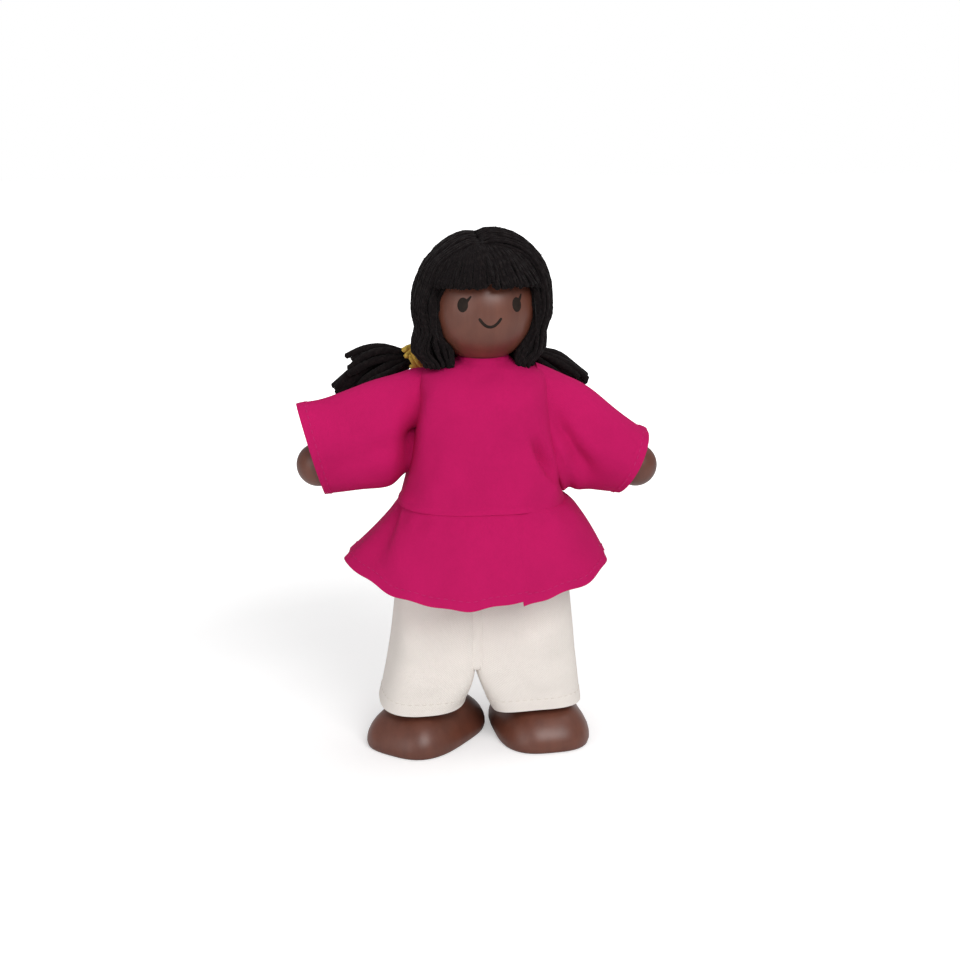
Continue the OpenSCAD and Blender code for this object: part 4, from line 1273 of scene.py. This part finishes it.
class DOLL_OT_limbs(DollOperator, bpy.types.Operator):
    """Runs the cords and wires through the arms and legs, and finishes the fastenings"""

    bl_idname = "doll.limbs"
    bl_label = "Limbs and fastenings"

    def execute(self, context):
        look = context.scene.doll_limbs
        cord = cotton_finish("braided cord", tuple(look.cord), 1.6, 1.0, 0.75, 1.1, 1.0)
        wire, tree, bsdf, spots = finish("soft wire", 0.38, Metallic=1.0)
        drawn = add(tree, "TexNoise", {"Vector": spots.outputs["Object"], "Scale": 2200.0})
        colour_from(tree, bsdf, drawn.outputs["Fac"], tuple(c * 0.8 for c in look.wire), tuple(look.wire), 0.3, 0.7)
        strip = cotton_finish("fastening strip", tuple(look.strip), 2.2, 0.0, 0.8, 1.05, 1.2)
        band = cotton_finish("elastic band", tuple(look.strip), 1.3, 0.0, 0.8, 1.05, 1.0)
        for name, finish_of in (("hook_strip", strip), ("loop_strip", strip), ("waist_elastic", band)):
            dress(name, finish_of)
        for side, s in SIDES.items():
            shoulder, elbow = JOINT["shoulder_lift_" + side], JOINT["elbow_bend_" + side]
            way = unit(elbow - shoulder)
            middle = (shoulder + elbow) / 2
            hand = shoulder + way * (np.linalg.norm(elbow - shoulder) + FOREARM)
            self.run(
                "shoulder_" + side, [(s * 4.1, 0, shoulder[2]), shoulder, middle], ARM_HALF,
                ("torso", "upper_arm_" + side), (shoulder - (s * 2.2, 0, 0), shoulder + way * 2.6), cord, wire,
                ["shoulder_cord_" + side, "upper_arm_cord_" + side], ["arm_wire_" + side],
            )
            self.run(
                "elbow_" + side, [middle, elbow, hand - way * 2.3], ARM_HALF,
                ("upper_arm_" + side, "forearm_" + side), (elbow - way * 2.6, elbow + way * 2.6), cord, wire,
                ["elbow_cord_" + side, "forearm_cord_" + side], ["arm_wire_" + side],
            )
            hip, knee = JOINT["hip_swing_" + side], JOINT["knee_bend_" + side]
            way = unit(knee - hip)
            middle = (hip + knee) / 2
            self.run(
                "hip_" + side, [hip + (0, 0, 9.2), hip, middle], LEG_HALF,
                ("torso", "thigh_" + side), (hip + (0, 0, 2.4), hip + way * 2.9), cord, wire,
                ["hip_cord_" + side, "thigh_cord_" + side], ["leg_wire_" + side],
            )
            self.run(
                "knee_" + side, [middle, knee, (knee[0], 0, 2.7)], LEG_HALF,
                ("thigh_" + side, "shin_" + side), (knee - way * 2.9, knee - (0, 0, 2.9)), cord, wire,
                ["knee_cord_" + side, "shin_cord_" + side], ["leg_wire_" + side],
            )
        return {"FINISHED"}

    def run(self, name, points, half, bodies, ends, cord, wire, cords, wires):
        """A length of cord across one joint, with its wire."""
        path = points_along(points, np.linspace(0, length_of(points), 26))
        for _ in range(3):
            path[1:-1] = (path[:-2] + 2 * path[1:-1] + path[2:]) / 4
        for kind, thick, finish_of, slot, nodes in (
            ("cord", half, cord, "braided_cord", cords), ("wire", WIRE_HALF, wire, "soft_wire", wires)
        ):
            bm = bmesh.new()
            tube(bm, path, thick, 20 if kind == "cord" else 10)
            made = piece(f"{name}_{kind}", bm, finish_of)
            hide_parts(*nodes)
            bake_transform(made)


class DOLL_PT_panel(bpy.types.Panel):
    """Lists the doll's pieces"""

    bl_label = "Doll"
    bl_idname = "DOLL_PT_panel"
    bl_space_type = "VIEW_3D"
    bl_region_type = "UI"
    bl_category = "Doll"

    def draw(self, context):
        for maker in MAKERS:
            self.layout.operator(maker.bl_idname)
        for key in LOOKS:
            box = self.layout.box()
            group = getattr(context.scene, key)
            for prop in group.bl_rna.properties:
                if prop.identifier not in ("rna_type", "name"):
                    box.prop(group, prop.identifier)


LOOKS = {
    "doll_wood": WoodLook, "doll_hair": HairLook, "doll_tunic": TunicLook,
    "doll_trousers": TrouserLook, "doll_limbs": LimbLook, "doll_stage": StageLook,
}
MAKERS = (
    DOLL_OT_stage, DOLL_OT_wood, DOLL_OT_face, DOLL_OT_hair,
    DOLL_OT_ties, DOLL_OT_tunic, DOLL_OT_trousers, DOLL_OT_limbs,
)


def register():
    for made in (*LOOKS.values(), *MAKERS, DOLL_PT_panel):
        bpy.utils.register_class(made)
    for key, made in LOOKS.items():
        setattr(bpy.types.Scene, key, PointerProperty(type=made))


def unregister():
    for key in LOOKS:
        delattr(bpy.types.Scene, key)
    for made in reversed((*LOOKS.values(), *MAKERS, DOLL_PT_panel)):
        bpy.utils.unregister_class(made)


def main():
    register()
    bpy.ops.doll.stage()
    bpy.ops.doll.wood()
    bpy.ops.doll.face()
    bpy.ops.doll.hair()
    bpy.ops.doll.ties()
    bpy.ops.doll.tunic()
    bpy.ops.doll.trousers()
    bpy.ops.doll.limbs()


if __name__ == "__main__":
    main()
